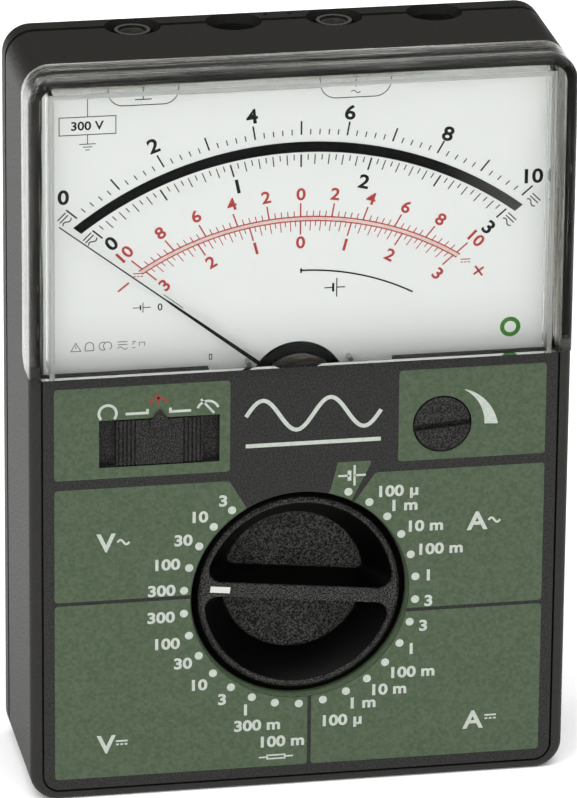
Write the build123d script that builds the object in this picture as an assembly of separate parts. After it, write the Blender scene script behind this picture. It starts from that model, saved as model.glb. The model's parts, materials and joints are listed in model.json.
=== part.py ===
from build123d import *
import os
from math import cos, radians, sin

# Pocket analog multimeter. X runs along the width, +Y to the back, +Z up the face.
# The origin is the centre of the bottom of the bounding box. The face looks to -Y.

# ---- case ----
WIDTH = 100.0
HEIGHT = 140.0
DEPTH = 35.0
CORNER_R = 5.2
WALL = 2.0
COVER_FRONT = -DEPTH / 2
COVER_PROUD = 1.2
PANEL_FRONT = COVER_FRONT + COVER_PROUD
SEAM_DEPTH = 27.7
SEAM = PANEL_FRONT + SEAM_DEPTH
BACK = DEPTH / 2
FRONT_EDGE_R = 1.3
BACK_EDGE_R = 1.7
SEAM_CHAMFER = 0.3
GROOVE_WIDE = 0.9
GROOVE_DEEP = 0.8
SPLIT_GAP = 0.05
SAME = 1e-4

# ---- inset front panel ----
PANEL_HALF = 47.9
PANEL_BOTTOM = 1.6
PANEL_TOP = 83.1
PANEL_R = 3.4
PANEL_T = 1.3
PANEL_GAP = 0.4
POCKET_FLOOR = PANEL_FRONT + PANEL_T
WALL_BACK = PANEL_FRONT + 3.0

# ---- clear cover ----
COVER_SKIRT = 8.3
COVER_BACK = PANEL_FRONT + COVER_SKIRT
COVER_T = 1.8
COVER_HEEL_R = 3.0
COVER_EDGE_R = 1.6
LEDGE_FRONT = COVER_BACK + 2.1
LEDGE_Z = [92.0, 124.0]
RIB_HALF = 45.3
RIB_TOP = 135.9
RIB_T = 0.9

# ---- dial and movement ----
PLATE_FRONT = PANEL_FRONT + 5.1
PLATE_T = 0.6
PLATE_HALF = 46.8
PLATE_BOTTOM = 77.6
PLATE_TOP = 137.2
PLATE_SCREWS = [(-22.0, 80.0), (22.0, 80.0)]
PIVOT_Z = 77.1
MIRROR_OUT_C = 57.16
MIRROR_OUT_R = 67.12
MIRROR_IN_C = 56.42
MIRROR_IN_R = 65.91
MIRROR_ANGLE = 51.3
MIRROR_REACH = 80.0
MIRROR_T = 0.1
CORE_PLATE_R = 7.05
CORE_PLATE_FRONT = -12.6
CORE_PLATE_T = 0.25
RING_R = 8.75
RING_BORE = 7.15
CORE_R = 5.9
CORE_FRONT = -10.9
CORE_BACK = -3.0
COIL_HALF = 6.85
COIL_HALF_W = 1.3
COIL_FRONT = -12.2
COIL_BACK = -1.7
WINDING_T = 0.35
FORMER_T = 0.25
PIVOT_R = 0.3
PIVOT_SEAT_R = 0.8
POST_X = 4.5
POST_R = 0.8
BRIDGE_HALF = 13.0
BRIDGE_T = 0.7
BRIDGE_FRONT = -14.5
REAR_BRIDGE = 0.3
POINTER_ANGLE = 52.4
POINTER_LENGTH = 55.6
POINTER_RADII = [1.0, 12.0, 30.0, 31.0, POINTER_LENGTH]
POINTER_HALVES = [0.42, 0.36, 0.2, 0.12, 0.09]
POINTER_Y = -13.1
POINTER_T = 0.25
STOP_RADIUS = 11.0
STOP_ANGLE = 58.5

# ---- selector knob ----
KNOB_Z = 38.0
KNOB_R = 19.8
KNOB_RIM_R = 18.2
KNOB_WELL_R = 17.9
KNOB_FLANGE_R = 21.4
KNOB_SINK = 1.0
WELL_DEPTH = 7.5
WELL_FLOOR_R = 13.1
BAR_HALF = 1.3
BAR_HALF_FLOOR = 2.6
KNOB_SHAFT_R = 3.6
KNOB_REST = -6.0
HOLE_R = 20.15
CONE_R = 20.35
POSITIONS = 30
SCALLOP_R = 16.9
CARRIER_FRONT = PANEL_FRONT + KNOB_SINK + WELL_DEPTH + 1.3
TRACK_R = 12.8

# ---- mode slider ----
SLIDER_X = -26.2
SLIDER_Z = 69.9
SLOT_HALF = 11.1
SLOT_HALF_H = 4.6
GRIP_HALF = 7.9
GRIP_HALF_H = 4.3
GRIP_PROUD = 0.1
INDEX_PROUD = 0.65
INDEX_T = 0.4
SKIRT_HALF = 14.3
SKIRT_HALF_H = 4.9
SKIRT_FRONT = POCKET_FLOOR + 0.2
SKIRT_T = 1.0

# ---- adjusting knob ----
ADJUST_X = 26.1
ADJUST_Z = 70.1
ADJUST_R = 5.2
ADJUST_HOLE_R = 5.45
ADJUST_PROUD = 0.5
ADJUST_TURN = 4.7

# ---- sockets in the top face ----
SOCKET_PITCH = 18.6
SOCKET_MID_X = 1.15
WELL_R = 5.15
WELL_WALL = 0.4
WELL_TOP = HEIGHT - WALL - 0.1
WELL_BOTTOM = 117.0
WELL_FLOOR = WELL_BOTTOM + 1.2
COLLAR_R = 3.3
SOCKET_R = 2.0
SOCKET_OUT_R = 2.45
SOCKET_TOP = 139.4
SOCKET_BOTTOM = 119.0
TAIL_BOTTOM = WELL_BOTTOM - 3.5
WELL_X = [SOCKET_MID_X + step * SOCKET_PITCH for step in (-1.5, -0.5, 0.5, 1.5)]
SOCKET_X = [WELL_X[0], WELL_X[2]]

# ---- circuit board and what it carries ----
BOARD_FRONT = -3.0
BOARD_T = 1.6
BOARD_BACK = BOARD_FRONT + BOARD_T
BOARD_HALF = 41.0
BOARD_BOTTOM = 4.0
BOARD_TOP = 61.5
BOARD_SCREWS = [(-37.0, 8.0), (37.0, 8.0), (-37.0, 57.5), (37.0, 57.5)]
CASE_SCREWS = [(-45.0, 5.2), (45.0, 5.2), (-45.0, 134.6), (45.0, 134.6)]
CELL_R = 7.1
CELL_HALF = 24.8
CELL_Z = 15.0
CELL_Y = 7.2
PLATE_X = 27.0
FUSE_Z = 31.0
FUSE_Y = 3.4
LID_HALF = 33.0
LID_BOTTOM = 5.0
LID_TOP = 38.0
LID_T = 1.6
LID_GAP = 0.15

nodes = {}


def slab(sketch, y_front, y_back):
    """A front-view sketch (x, z) extruded between two depths."""
    return extrude(Plane.XZ.offset(-y_back) * sketch, amount=y_back - y_front)


def rod(x, z, radius, y_front, y_back):
    """A round bar along Y."""
    return slab(Pos(x, z) * Circle(radius), y_front, y_back)


def tube_y(x, z, outer, inner, y_front, y_back):
    """A round tube along Y."""
    return slab(Pos(x, z) * Circle(outer) - Pos(x, z) * Circle(inner), y_front, y_back)


def pillar(x, y, radius, z_low, z_high):
    """A round bar along Z."""
    return extrude(Plane.XY.offset(z_low) * (Pos(x, y) * Circle(radius)), amount=z_high - z_low)


def bar_x(y, z, radius, x_low, x_high):
    """A round bar along X."""
    return extrude(Plane.YZ.offset(x_low) * (Pos(y, z) * Circle(radius)), amount=x_high - x_low)


def block(x, y, z):
    """A box given by its (low, high) pairs along X, Y and Z."""
    middle = Pos((x[0] + x[1]) / 2, (y[0] + y[1]) / 2, (z[0] + z[1]) / 2)
    return middle * Box(x[1] - x[0], y[1] - y[0], z[1] - z[0])


def turned(shape, x, z, angle):
    """A shape turned about the front normal through (x, z), anticlockwise seen from the front."""
    return Pos(x, 0, z) * Rot(0, -angle, 0) * Pos(-x, 0, -z) * shape


def case_outline(inset):
    """Front view of the case, moved in from its outer wall."""
    rounded = RectangleRounded(WIDTH - 2 * inset, HEIGHT - 2 * inset, CORNER_R - inset)
    return Pos(0, HEIGHT / 2) * rounded


def edges_at_depth(shape, y):
    """The edges that lie wholly at one depth."""
    found = []
    for edge in shape.edges():
        box = edge.bounding_box()
        if abs(box.min.Y - y) < SAME and abs(box.max.Y - y) < SAME:
            found.append(edge)
    return found


def cover_space(inset, y_front, y_back, gap):
    """The space of the clear cover: the upper case outline with a rounded lower heel."""
    whole = slab(case_outline(inset), y_front, y_back)
    below = block((-WIDTH, WIDTH), (y_front - 1, y_back + 1), (-1, PANEL_TOP + gap))
    upper = whole - below
    back_edges = edges_at_depth(upper, y_back)
    heel = [e for e in back_edges if abs(e.center().Z - PANEL_TOP - gap) < SAME]
    return fillet(heel, COVER_HEEL_R)


def seam_chamfer(shape, y):
    """A small bevel round the outer edge where the two shells meet."""
    outer = [e for e in edges_at_depth(shape, y) if abs(e.center().X) > WIDTH / 2 - 3 or e.center().Z < 3]
    tops = [e for e in edges_at_depth(shape, y) if e.center().Z > HEIGHT - 3]
    rim = [e for e in outer + tops if on_outline(e)]
    return chamfer(rim, SEAM_CHAMFER)


def on_outline(edge):
    """True when an edge lies on the outer wall of the case."""
    point = edge.position_at(0.5)
    near_side = abs(abs(point.X) - WIDTH / 2) < 1.6
    near_end = point.Z < 1.6 or point.Z > HEIGHT - 1.6
    return near_side or near_end


def top_holes(y_low, y_high):
    """The four round openings in the top face, wider below it to clear the wells."""
    holes = []
    for x in WELL_X:
        hole = pillar(x, SEAM, WELL_R, HEIGHT - 4, HEIGHT + 1)
        cup_space = pillar(x, SEAM, WELL_R + WELL_WALL + SPLIT_GAP, WELL_BOTTOM - 1, WELL_TOP + 0.05)
        holes.append(hole + cup_space)
    return Compound(holes) & block((-WIDTH, WIDTH), (y_low, y_high), (0, HEIGHT + 2))


def cut_all(shape, tools):
    """A shape with a list of tools cut from it."""
    for tool in tools:
        shape = shape - tool
    return shape


def front_shell():
    """Front half of the case, with the panel pocket, the window and the screw columns."""
    shell = slab(case_outline(0), PANEL_FRONT, SEAM - SPLIT_GAP)
    shell = fillet(edges_at_depth(shell, PANEL_FRONT), FRONT_EDGE_R)
    shell = shell - slab(case_outline(WALL), WALL_BACK, SEAM)
    pocket_mid = (PANEL_BOTTOM + PANEL_TOP + 10) / 2
    pocket_h = PANEL_TOP + 10 - PANEL_BOTTOM
    pocket = Pos(0, pocket_mid) * RectangleRounded(2 * PANEL_HALF, pocket_h, PANEL_R)
    shell = shell - slab(pocket, PANEL_FRONT - 1, POCKET_FLOOR)
    shell = shell - cover_space(-1, PANEL_FRONT - 1, COVER_BACK + 0.1, 0)
    window = slab(case_outline(WALL), PANEL_FRONT, COVER_BACK + 1)
    shell = shell - (window & block((-WIDTH, WIDTH), (-20, 0), (PANEL_TOP, HEIGHT)))
    shell = shell - rod(0, KNOB_Z, HOLE_R, PANEL_FRONT - 1, WALL_BACK + 1)
    recess = slab(Pos(SLIDER_X, SLIDER_Z) * Rectangle(2 * SKIRT_HALF + 7.0, 2 * SKIRT_HALF_H + 0.6),
                  PANEL_FRONT - 1, WALL_BACK + 1)
    shell = shell - recess
    shell = shell - rod(ADJUST_X, ADJUST_Z, ADJUST_HOLE_R, PANEL_FRONT - 1, WALL_BACK + 1)
    shell = shell - block((-17, 17), (POCKET_FLOOR - 0.01, WALL_BACK + 1), (61.5, PANEL_TOP + 1))
    ledges = [block((side * 46 - 2.2, side * 46 + 2.2), (LEDGE_FRONT, LEDGE_FRONT + 3.9), (z - 4, z + 4))
              for side in (-1, 1) for z in LEDGE_Z]
    columns = [rod(x, z, 3.2, WALL_BACK - 0.3 if z < 70 else LEDGE_FRONT, SEAM - SPLIT_GAP)
               for x, z in CASE_SCREWS]
    bosses = [rod(x, z, 2.6, WALL_BACK - 0.3, BOARD_FRONT) for x, z in BOARD_SCREWS]
    for extra in ledges + columns + bosses:
        shell = shell + extra
    shell = cut_all(shell, [rod(x, z, 1.25, -6.0, SEAM + 1) for x, z in CASE_SCREWS])
    shell = cut_all(shell, [rod(x, z, 1.0, -12.0, 0) for x, z in BOARD_SCREWS])
    shell = shell - top_holes(0, SEAM + 1)
    return seam_chamfer(shell, SEAM - SPLIT_GAP)


def slider_slot(y_front, y_back):
    """The oblong opening for the mode slider."""
    return slab(Pos(SLIDER_X, SLIDER_Z) * Rectangle(2 * SLOT_HALF, 2 * SLOT_HALF_H), y_front, y_back)


def seam_groove(y_front):
    """The shallow channel round the outside of the case, just behind the joint."""
    y_back = y_front + GROOVE_WIDE
    around = slab(case_outline(-1), y_front - 0.5, y_back)
    return around - slab(case_outline(GROOVE_DEEP), y_front - 1, y_back)


def rear_shell():
    """Rear half of the case, with the cell compartment opening and sunk screw holes."""
    shell = slab(case_outline(0), SEAM + SPLIT_GAP, BACK)
    shell = fillet(edges_at_depth(shell, BACK), BACK_EDGE_R)
    shell = shell - slab(case_outline(WALL), SEAM, BACK - WALL)
    lid = block((-LID_HALF, LID_HALF), (BACK - LID_T, BACK + 1), (LID_BOTTOM, LID_TOP))
    mouth = block((-LID_HALF + 2, LID_HALF - 2), (0, BACK + 1), (LID_BOTTOM + 2, LID_TOP - 6))
    shell = shell - lid - mouth
    boss = rod(0, LID_TOP - 3, 2.6, BACK - 6, BACK - LID_T) & block((-9, 9), (0, 20), (LID_TOP - 8, LID_TOP))
    shell = shell + boss - rod(0, LID_TOP - 3, 1.1, BACK - 7, BACK)
    for x, z in CASE_SCREWS:
        shell = shell + (rod(x, z, 3.2, SEAM + SPLIT_GAP, BACK - 1.5) & slab(case_outline(1), SEAM, BACK))
        shell = shell - rod(x, z, 1.5, SEAM - 1, BACK + 1) - rod(x, z, 2.7, BACK - 3.0, BACK + 1)
    pits = [block((x - 0.4, x + 0.4), (BACK - 3.4, BACK - 2.4), (HEIGHT - 1.0, HEIGHT + 1))
            for x in (-1.7, 2.8)]
    shell = cut_all(shell, pits)
    shell = shell - top_holes(SEAM - 1, BACK)
    return shell - seam_groove(SEAM + SPLIT_GAP)


def front_panel():
    """Inset plate that carries the printed fields, with a dished hole for the selector."""
    low = PANEL_BOTTOM + PANEL_GAP
    high = PANEL_TOP - 0.1
    half = PANEL_HALF - PANEL_GAP
    plate = Pos(0, (low + high) / 2) * RectangleRounded(2 * half, high - low, PANEL_R - PANEL_GAP)
    square_top = block((-half, half), (PANEL_FRONT, POCKET_FLOOR), (high - 5, high))
    panel = slab(plate, PANEL_FRONT, POCKET_FLOOR) + square_top
    dish = [(0, PANEL_FRONT), (CONE_R, PANEL_FRONT), (HOLE_R, POCKET_FLOOR), (0, POCKET_FLOOR)]
    panel = panel - revolved(dish, KNOB_Z) - slider_slot(PANEL_FRONT - 1, POCKET_FLOOR + 1)
    return panel - rod(ADJUST_X, ADJUST_Z, ADJUST_HOLE_R, PANEL_FRONT - 1, POCKET_FLOOR + 1)


def clear_cover():
    """Moulded hood of clear plastic over the dial, with an inner rib round the plate."""
    hood = cover_space(0, COVER_FRONT, COVER_BACK, 0.1)
    front = [e for e in edges_at_depth(hood, COVER_FRONT) if e.center().Z > PANEL_TOP + 0.5]
    hood = fillet(front, COVER_EDGE_R)
    hood = hood - slab(case_outline(WALL), COVER_FRONT + COVER_T, COVER_BACK + 1)
    rib_back = PLATE_FRONT - 0.1
    rib_low = PANEL_TOP + 0.1
    rib_out = RIB_HALF + RIB_T
    outer = block((-rib_out, rib_out), (COVER_FRONT + COVER_T, rib_back), (rib_low, RIB_TOP + RIB_T))
    inner = block((-RIB_HALF, RIB_HALF), (COVER_FRONT, rib_back + 1), (0, RIB_TOP))
    return hood + (outer - inner)


def scale_plate():
    """Thin metal plate with the printed scales, cut away round the movement."""
    sheet = Pos(0, (PLATE_BOTTOM + PLATE_TOP) / 2) * Rectangle(2 * PLATE_HALF, PLATE_TOP - PLATE_BOTTOM)
    sheet = sheet - Pos(0, PIVOT_Z) * Circle(RING_R + 0.2)
    plate = slab(sheet, PLATE_FRONT, PLATE_FRONT + PLATE_T)
    return cut_all(plate, [rod(x, z, 0.8, PLATE_FRONT - 1, PLATE_FRONT + 2) for x, z in PLATE_SCREWS])


def mirror_strip():
    """Curved strip that shows the pointer's reflection beside the scale."""
    outer = Pos(0, MIRROR_OUT_C) * Circle(MIRROR_OUT_R)
    inner = Pos(0, MIRROR_IN_C) * Circle(MIRROR_IN_R)
    reach = [MIRROR_REACH * sin(radians(MIRROR_ANGLE)), MIRROR_REACH * cos(radians(MIRROR_ANGLE))]
    corners = [(0, 0), (-reach[0], reach[1]), (0, 2 * MIRROR_REACH), (reach[0], reach[1])]
    fan = make_face(Polyline([(x, PIVOT_Z + z) for x, z in corners], close=True))
    return slab((outer - inner) & fan, PLATE_FRONT - MIRROR_T, PLATE_FRONT)


def dial_carrier():
    """Moulded frame behind the scale plate, resting on four ledges of the front shell."""
    y_front = PLATE_FRONT + PLATE_T
    outer = Pos(0, 107.3) * Rectangle(93.0, 59.0)
    opening = Pos(0, 112.0) * RectangleRounded(76, 40, 4)
    frame = outer - opening - Pos(0, PIVOT_Z) * Circle(RING_R + 0.2)
    carrier = slab(frame, y_front, y_front + 1.6)
    carrier = cut_all(carrier, [rod(x, z, 0.7, y_front - 1, y_front + 3) for x, z in PLATE_SCREWS])
    legs = [block((side * 45.2 - 1.2, side * 45.2 + 1.2), (y_front + 1.6, LEDGE_FRONT), (z - 3, z + 3))
            for side in (-1, 1) for z in LEDGE_Z]
    for leg in legs:
        carrier = carrier + leg
    return carrier


def screws(places, head_r, shank_r, y_head, y_seat, y_tip):
    """Round-headed screws along Y with a cross recess; the head faces y_head."""
    made = []
    for x, z in places:
        low, high = sorted((y_head, y_seat))
        screw = rod(x, z, head_r, low, high) + rod(x, z, shank_r, min(y_seat, y_tip), max(y_seat, y_tip))
        inward = 1 if y_head < y_seat else -1
        depth = sorted((y_head - inward, y_head + inward * 0.7))
        for angle in (0, 90):
            cross = block((x - head_r * 0.6, x + head_r * 0.6), tuple(depth), (z - 0.22, z + 0.22))
            screw = screw - turned(cross, x, z, angle)
        made.append(screw)
    return Compound(made) if len(made) > 1 else made[0]


def yoke_ring():
    """Soft-iron ring round the core; its dark front edge shows in the window."""
    ring = tube_y(0, PIVOT_Z, RING_R, RING_BORE, CORE_FRONT - 0.9, CORE_BACK + 0.4)
    low = PIVOT_Z - 4
    ears = [block((side * 10.6 - 2.4, side * 10.6 + 2.4), (CORE_BACK - 1.6, CORE_BACK + 0.4), (low, low + 6))
            for side in (-1, 1)]
    bore = rod(0, PIVOT_Z, RING_BORE, -20, 10)
    return ring + ears[0] + ears[1] - bore


def magnet_core():
    """Round magnet inside the moving coil."""
    return rod(0, PIVOT_Z, CORE_R, CORE_FRONT, CORE_BACK)


def core_plate():
    """Thin brushed disc in front of the coil, held by the core's pins."""
    disc = tube_y(0, PIVOT_Z, CORE_PLATE_R, 1.2, CORE_PLATE_FRONT, CORE_PLATE_FRONT + CORE_PLATE_T)
    return cut_all(disc, [rod(side * POST_X, PIVOT_Z, POST_R, -20, 0) for side in (-1, 1)])


def core_posts():
    """Pins that hold the core between the two bridges, inside the coil's window."""
    front = [rod(side * POST_X, PIVOT_Z, POST_R, BRIDGE_FRONT + BRIDGE_T, CORE_FRONT) for side in (-1, 1)]
    rear = [rod(side * POST_X, PIVOT_Z, POST_R, CORE_BACK, REAR_BRIDGE) for side in (-1, 1)]
    return Compound(front + rear)


def bridge(y_front):
    """Flat brass bar across the movement with a threaded hole for the jewel screw."""
    bar = slab(Pos(0, PIVOT_Z) * RectangleRounded(2 * BRIDGE_HALF, 3.6, 1.6), y_front, y_front + BRIDGE_T)
    return bar - rod(0, PIVOT_Z, 1.25, y_front - 1, y_front + 2)


def bridge_pillars():
    """Spacers that carry the front bridge from the rear bridge, outside the ring."""
    made = []
    for side in (-1, 1):
        x = side * (BRIDGE_HALF - 1.6)
        z = PIVOT_Z - 0.9
        made.append(rod(x, z, 0.8, BRIDGE_FRONT + BRIDGE_T, CORE_BACK - 1.6))
        made.append(rod(x, z, 0.8, CORE_BACK + 0.4, REAR_BRIDGE))
    return Compound(made)


def jewel_screws():
    """Slotted screws with a bored end that carries each pivot."""
    front = rod(0, PIVOT_Z, 1.2, BRIDGE_FRONT - 0.3, BRIDGE_FRONT + 0.9)
    front = front - rod(0, PIVOT_Z, 0.35, BRIDGE_FRONT + 0.3, BRIDGE_FRONT + 2)
    rear = rod(0, PIVOT_Z, 1.2, REAR_BRIDGE - 0.1, REAR_BRIDGE + 1.3)
    rear = rear - rod(0, PIVOT_Z, 0.35, REAR_BRIDGE - 1, REAR_BRIDGE + 0.6)
    slot = block((-1.3, 1.3), (BRIDGE_FRONT - 1, BRIDGE_FRONT), (PIVOT_Z - 0.15, PIVOT_Z + 0.15))
    return Compound([front - slot, rear])


def coil_loop(half_length, depth_inset, half_width, thick):
    """One rectangular turn round the core, lying along X."""
    front = COIL_FRONT + depth_inset
    back = COIL_BACK - depth_inset
    width = (PIVOT_Z - half_width, PIVOT_Z + half_width)
    outer = block((-half_length, half_length), (front, back), width)
    return outer - block((thick - half_length, half_length - thick), (front + thick, back - thick), (0, 200))


def coil_former():
    """Aluminium frame of the moving coil, which also damps the pointer."""
    loop = coil_loop(COIL_HALF - WINDING_T, WINDING_T, COIL_HALF_W, FORMER_T)
    return turned(loop, 0, PIVOT_Z, 90 + POINTER_ANGLE)


def coil_winding():
    """Copper winding on the former, parted round the two pivot seats."""
    loop = coil_loop(COIL_HALF, 0, COIL_HALF_W - 0.25, WINDING_T)
    front_seat = rod(0, PIVOT_Z, PIVOT_SEAT_R + 0.1, COIL_FRONT - 1, COIL_FRONT + WINDING_T)
    rear_seat = rod(0, PIVOT_Z, PIVOT_SEAT_R + 0.1, COIL_BACK - WINDING_T, COIL_BACK + 1)
    return turned(loop - front_seat - rear_seat, 0, PIVOT_Z, 90 + POINTER_ANGLE)


def pivots():
    """Two hardened pivots, each on a round seat on the coil frame."""
    front_base = COIL_FRONT + WINDING_T
    rear_base = COIL_BACK - WINDING_T
    front = rod(0, PIVOT_Z, PIVOT_R, BRIDGE_FRONT + 0.4, front_base)
    front = front + rod(0, PIVOT_Z, PIVOT_SEAT_R, COIL_FRONT - 0.1, front_base)
    rear = rod(0, PIVOT_Z, PIVOT_R, rear_base, REAR_BRIDGE + 0.5)
    rear = rear + rod(0, PIVOT_Z, PIVOT_SEAT_R, rear_base, COIL_BACK + 0.1)
    return Compound([front, rear])


def pointer():
    """Tapered pointer on a hub, with a cross tail for the balance weights."""
    hub = tube_y(0, PIVOT_Z, 1.5, 0.35, POINTER_Y - 0.1, POINTER_Y + 0.35)
    outline = [(r, half) for r, half in zip(POINTER_RADII, POINTER_HALVES)]
    right = [(half, PIVOT_Z + r) for r, half in outline]
    left = [(-half, PIVOT_Z + r) for r, half in reversed(outline)]
    blade = slab(make_face(Polyline(*right, *left, close=True)), POINTER_Y, POINTER_Y + POINTER_T)
    tail = slab(Pos(0, PIVOT_Z - 3.6) * Rectangle(0.8, 5.4), POINTER_Y, POINTER_Y + POINTER_T)
    return turned(hub + blade + tail, 0, PIVOT_Z, POINTER_ANGLE)


def balance_weights():
    """Small brass weight clamped on the pointer's tail."""
    weight = rod(0, PIVOT_Z - 5.4, 0.95, POINTER_Y - 0.5, POINTER_Y + 0.35)
    weight = weight - block((-0.4, 0.4), (POINTER_Y, POINTER_Y + POINTER_T), (PIVOT_Z - 6.3, PIVOT_Z))
    return turned(weight, 0, PIVOT_Z, POINTER_ANGLE)


def hairsprings():
    """The two return springs, each made as one thin ring round its pivot."""
    front = tube_y(0, PIVOT_Z, 2.6, 2.35, BRIDGE_FRONT + 1.05, BRIDGE_FRONT + 1.3)
    rear = tube_y(0, PIVOT_Z, 3.2, 2.9, COIL_BACK + 0.5, COIL_BACK + 0.8)
    return Compound([front, rear])


def pointer_stops():
    """Two pins that end the pointer's travel."""
    made = []
    for side in (-1, 1):
        x = side * STOP_RADIUS * sin(radians(STOP_ANGLE))
        z = PIVOT_Z + STOP_RADIUS * cos(radians(STOP_ANGLE))
        made.append(rod(x, z, 0.45, POINTER_Y - 0.5, PLATE_FRONT))
    return Compound(made)


def d_sketch(radius, flat, corner):
    """The outline of one finger well: a circle cut by a straight side."""
    disc = Circle(radius) & (Pos(0, flat + radius) * Rectangle(4 * radius, 2 * radius))
    return fillet(disc.vertices(), corner)


def finger_well():
    """One tapered D-shaped well, above the bar."""
    rim_y = PANEL_FRONT + KNOB_SINK
    rim = Pos(0, KNOB_Z) * d_sketch(KNOB_WELL_R, BAR_HALF, 2.6)
    floor = Pos(0, KNOB_Z) * d_sketch(WELL_FLOOR_R, BAR_HALF_FLOOR, 1.2)
    rim_face = (Plane.XZ.offset(0.01 - rim_y) * rim).face()
    floor_face = (Plane.XZ.offset(-rim_y - WELL_DEPTH) * floor).face()
    return loft([rim_face, floor_face])


def knob_profile():
    """Half section of the selector knob: radius against depth behind the panel face."""
    rim = PANEL_FRONT + KNOB_SINK
    flange = WALL_BACK + 0.3
    back = PANEL_FRONT + KNOB_SINK + WELL_DEPTH + 1.2
    points = [(0, rim), (KNOB_RIM_R, rim), (KNOB_R, rim + 1.2), (KNOB_R, flange), (KNOB_FLANGE_R, flange),
              (KNOB_FLANGE_R, flange + 1.2), (KNOB_R, flange + 1.2), (18.6, back), (KNOB_SHAFT_R, back),
              (KNOB_SHAFT_R, BOARD_BACK + 2.0), (0, BOARD_BACK + 2.0)]
    return points


def revolved(points, z):
    """A body turned from (radius, y) points about the front normal at height z."""
    profile = make_face(Polyline([(r, y) for r, y in points], close=True))
    body = revolve(Plane.XY * profile, axis=Axis.Y, revolution_arc=360)
    return Pos(0, 0, z) * body


def selector_knob():
    """Flush selector knob with two finger wells and a bar between them."""
    knob = revolved(knob_profile(), KNOB_Z)
    well = finger_well()
    knob = knob - well - turned(well, 0, KNOB_Z, 180)
    knob = knob - index_mark_shape()
    groove = tube_y(0, KNOB_Z, KNOB_SHAFT_R + 1, KNOB_SHAFT_R - 0.7, BOARD_BACK + 0.8, BOARD_BACK + 1.4)
    return turned(knob - groove, 0, KNOB_Z, KNOB_REST)


def index_mark_shape():
    """The white inlay at the left end of the bar."""
    rim = PANEL_FRONT + KNOB_SINK
    return block((-16.6, -12.9), (rim, rim + 0.3), (KNOB_Z - 0.6, KNOB_Z + 0.6))


def knob_index():
    """White index inlay of the selector."""
    return turned(index_mark_shape(), 0, KNOB_Z, KNOB_REST)


def wiper_carrier():
    """Toothed disc behind the knob that carries the contact wipers."""
    y_front = CARRIER_FRONT
    disc = tube_y(0, KNOB_Z, 16.5, KNOB_SHAFT_R + 0.02, y_front, y_front + 1.3)
    scallop = []
    for index in range(POSITIONS):
        angle = radians(index * 360 / POSITIONS + 6)
        x = SCALLOP_R * cos(angle)
        z = KNOB_Z + SCALLOP_R * sin(angle)
        scallop.append(rod(x, z, 0.9, y_front - 1, y_front + 2))
    return cut_all(disc, scallop)


def wipers():
    """Three sprung contact bridges that press on the track rings."""
    y_front = CARRIER_FRONT + 1.3
    made = []
    for angle in (20, 140, 260):
        leaf = block((6.5, 14.0), (y_front, y_front + 0.3), (KNOB_Z - 1.2, KNOB_Z + 1.2))
        for x in (7.5, TRACK_R):
            leaf = leaf + rod(x, KNOB_Z, 0.7, y_front + 0.3, BOARD_FRONT - 0.25)
        made.append(turned(leaf, 0, KNOB_Z, angle))
    return Compound(made)


def retaining_clip():
    """Spring clip that holds the knob's shaft behind the board."""
    clip = tube_y(0, KNOB_Z, 5.6, KNOB_SHAFT_R - 0.68, BOARD_BACK + 0.85, BOARD_BACK + 1.35)
    return clip - block((-1.2, 1.2), (-5, 5), (KNOB_Z - 8, KNOB_Z))


def contact_tracks():
    """Gold-plated rings and pads on the front of the board."""
    made = []
    made.append(tube_y(0, KNOB_Z, 8.6, 6.6, BOARD_FRONT - 0.1, BOARD_FRONT))
    for index in range(26):
        angle = radians(66 + 12 * index + 60)
        x = TRACK_R * cos(angle)
        z = KNOB_Z + TRACK_R * sin(angle)
        made.append(rod(x, z, 1.0, BOARD_FRONT - 0.1, BOARD_FRONT))
    return Compound(made)


def detent_spring():
    """Bent leaf on the board whose nose rides over the toothed disc."""
    y_front = CARRIER_FRONT + 0.1
    y_back = y_front + 1.1
    height = (KNOB_Z - 18.7, KNOB_Z - 18.3)
    leaf = block((-9, 9), (y_front, y_back), height)
    nose = rod(0, KNOB_Z - 17.75, 0.6, y_front, y_back)
    feet = [block((side * 8.5 - 0.5, side * 8.5 + 0.5), (y_back, BOARD_FRONT), height) for side in (-1, 1)]
    return leaf + nose + feet[0] + feet[1]


def mode_slider():
    """Sliding cap with ribbed ends, a smooth middle, a pointed index and a hidden skirt."""
    front = PANEL_FRONT - GRIP_PROUD
    grip = block((-GRIP_HALF, GRIP_HALF), (front, SKIRT_FRONT), (-GRIP_HALF_H, GRIP_HALF_H))
    for side in (-1, 1):
        for index in range(5):
            x = side * (4.5 + 0.75 * index)
            grip = grip - block((x - 0.17, x + 0.17), (front - 1, front + 0.35), (-9, 9))
    y_skirt = (SKIRT_FRONT, SKIRT_FRONT + SKIRT_T)
    skirt = block((-SKIRT_HALF, SKIRT_HALF), y_skirt, (-SKIRT_HALF_H, SKIRT_HALF_H))
    root, shoulder = GRIP_HALF_H - 1.5, GRIP_HALF_H - 0.2
    tip = Polyline((-1.75, root), (1.75, root), (1.75, shoulder), (0, GRIP_HALF_H + 2.0),
                   (-1.75, shoulder), close=True)
    index = slab(make_face(tip), PANEL_FRONT - INDEX_PROUD, PANEL_FRONT - INDEX_PROUD + INDEX_T)
    index = index + block((-1.2, 1.2), (PANEL_FRONT - INDEX_PROUD, front + 0.3), (root, shoulder - 0.2))
    peg = block((-1.6, 1.6), (SKIRT_FRONT + SKIRT_T, WALL_BACK + 3.4), (-1.2, 1.2))
    return Pos(SLIDER_X, 0, SLIDER_Z) * (grip + skirt + index + peg)


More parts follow.
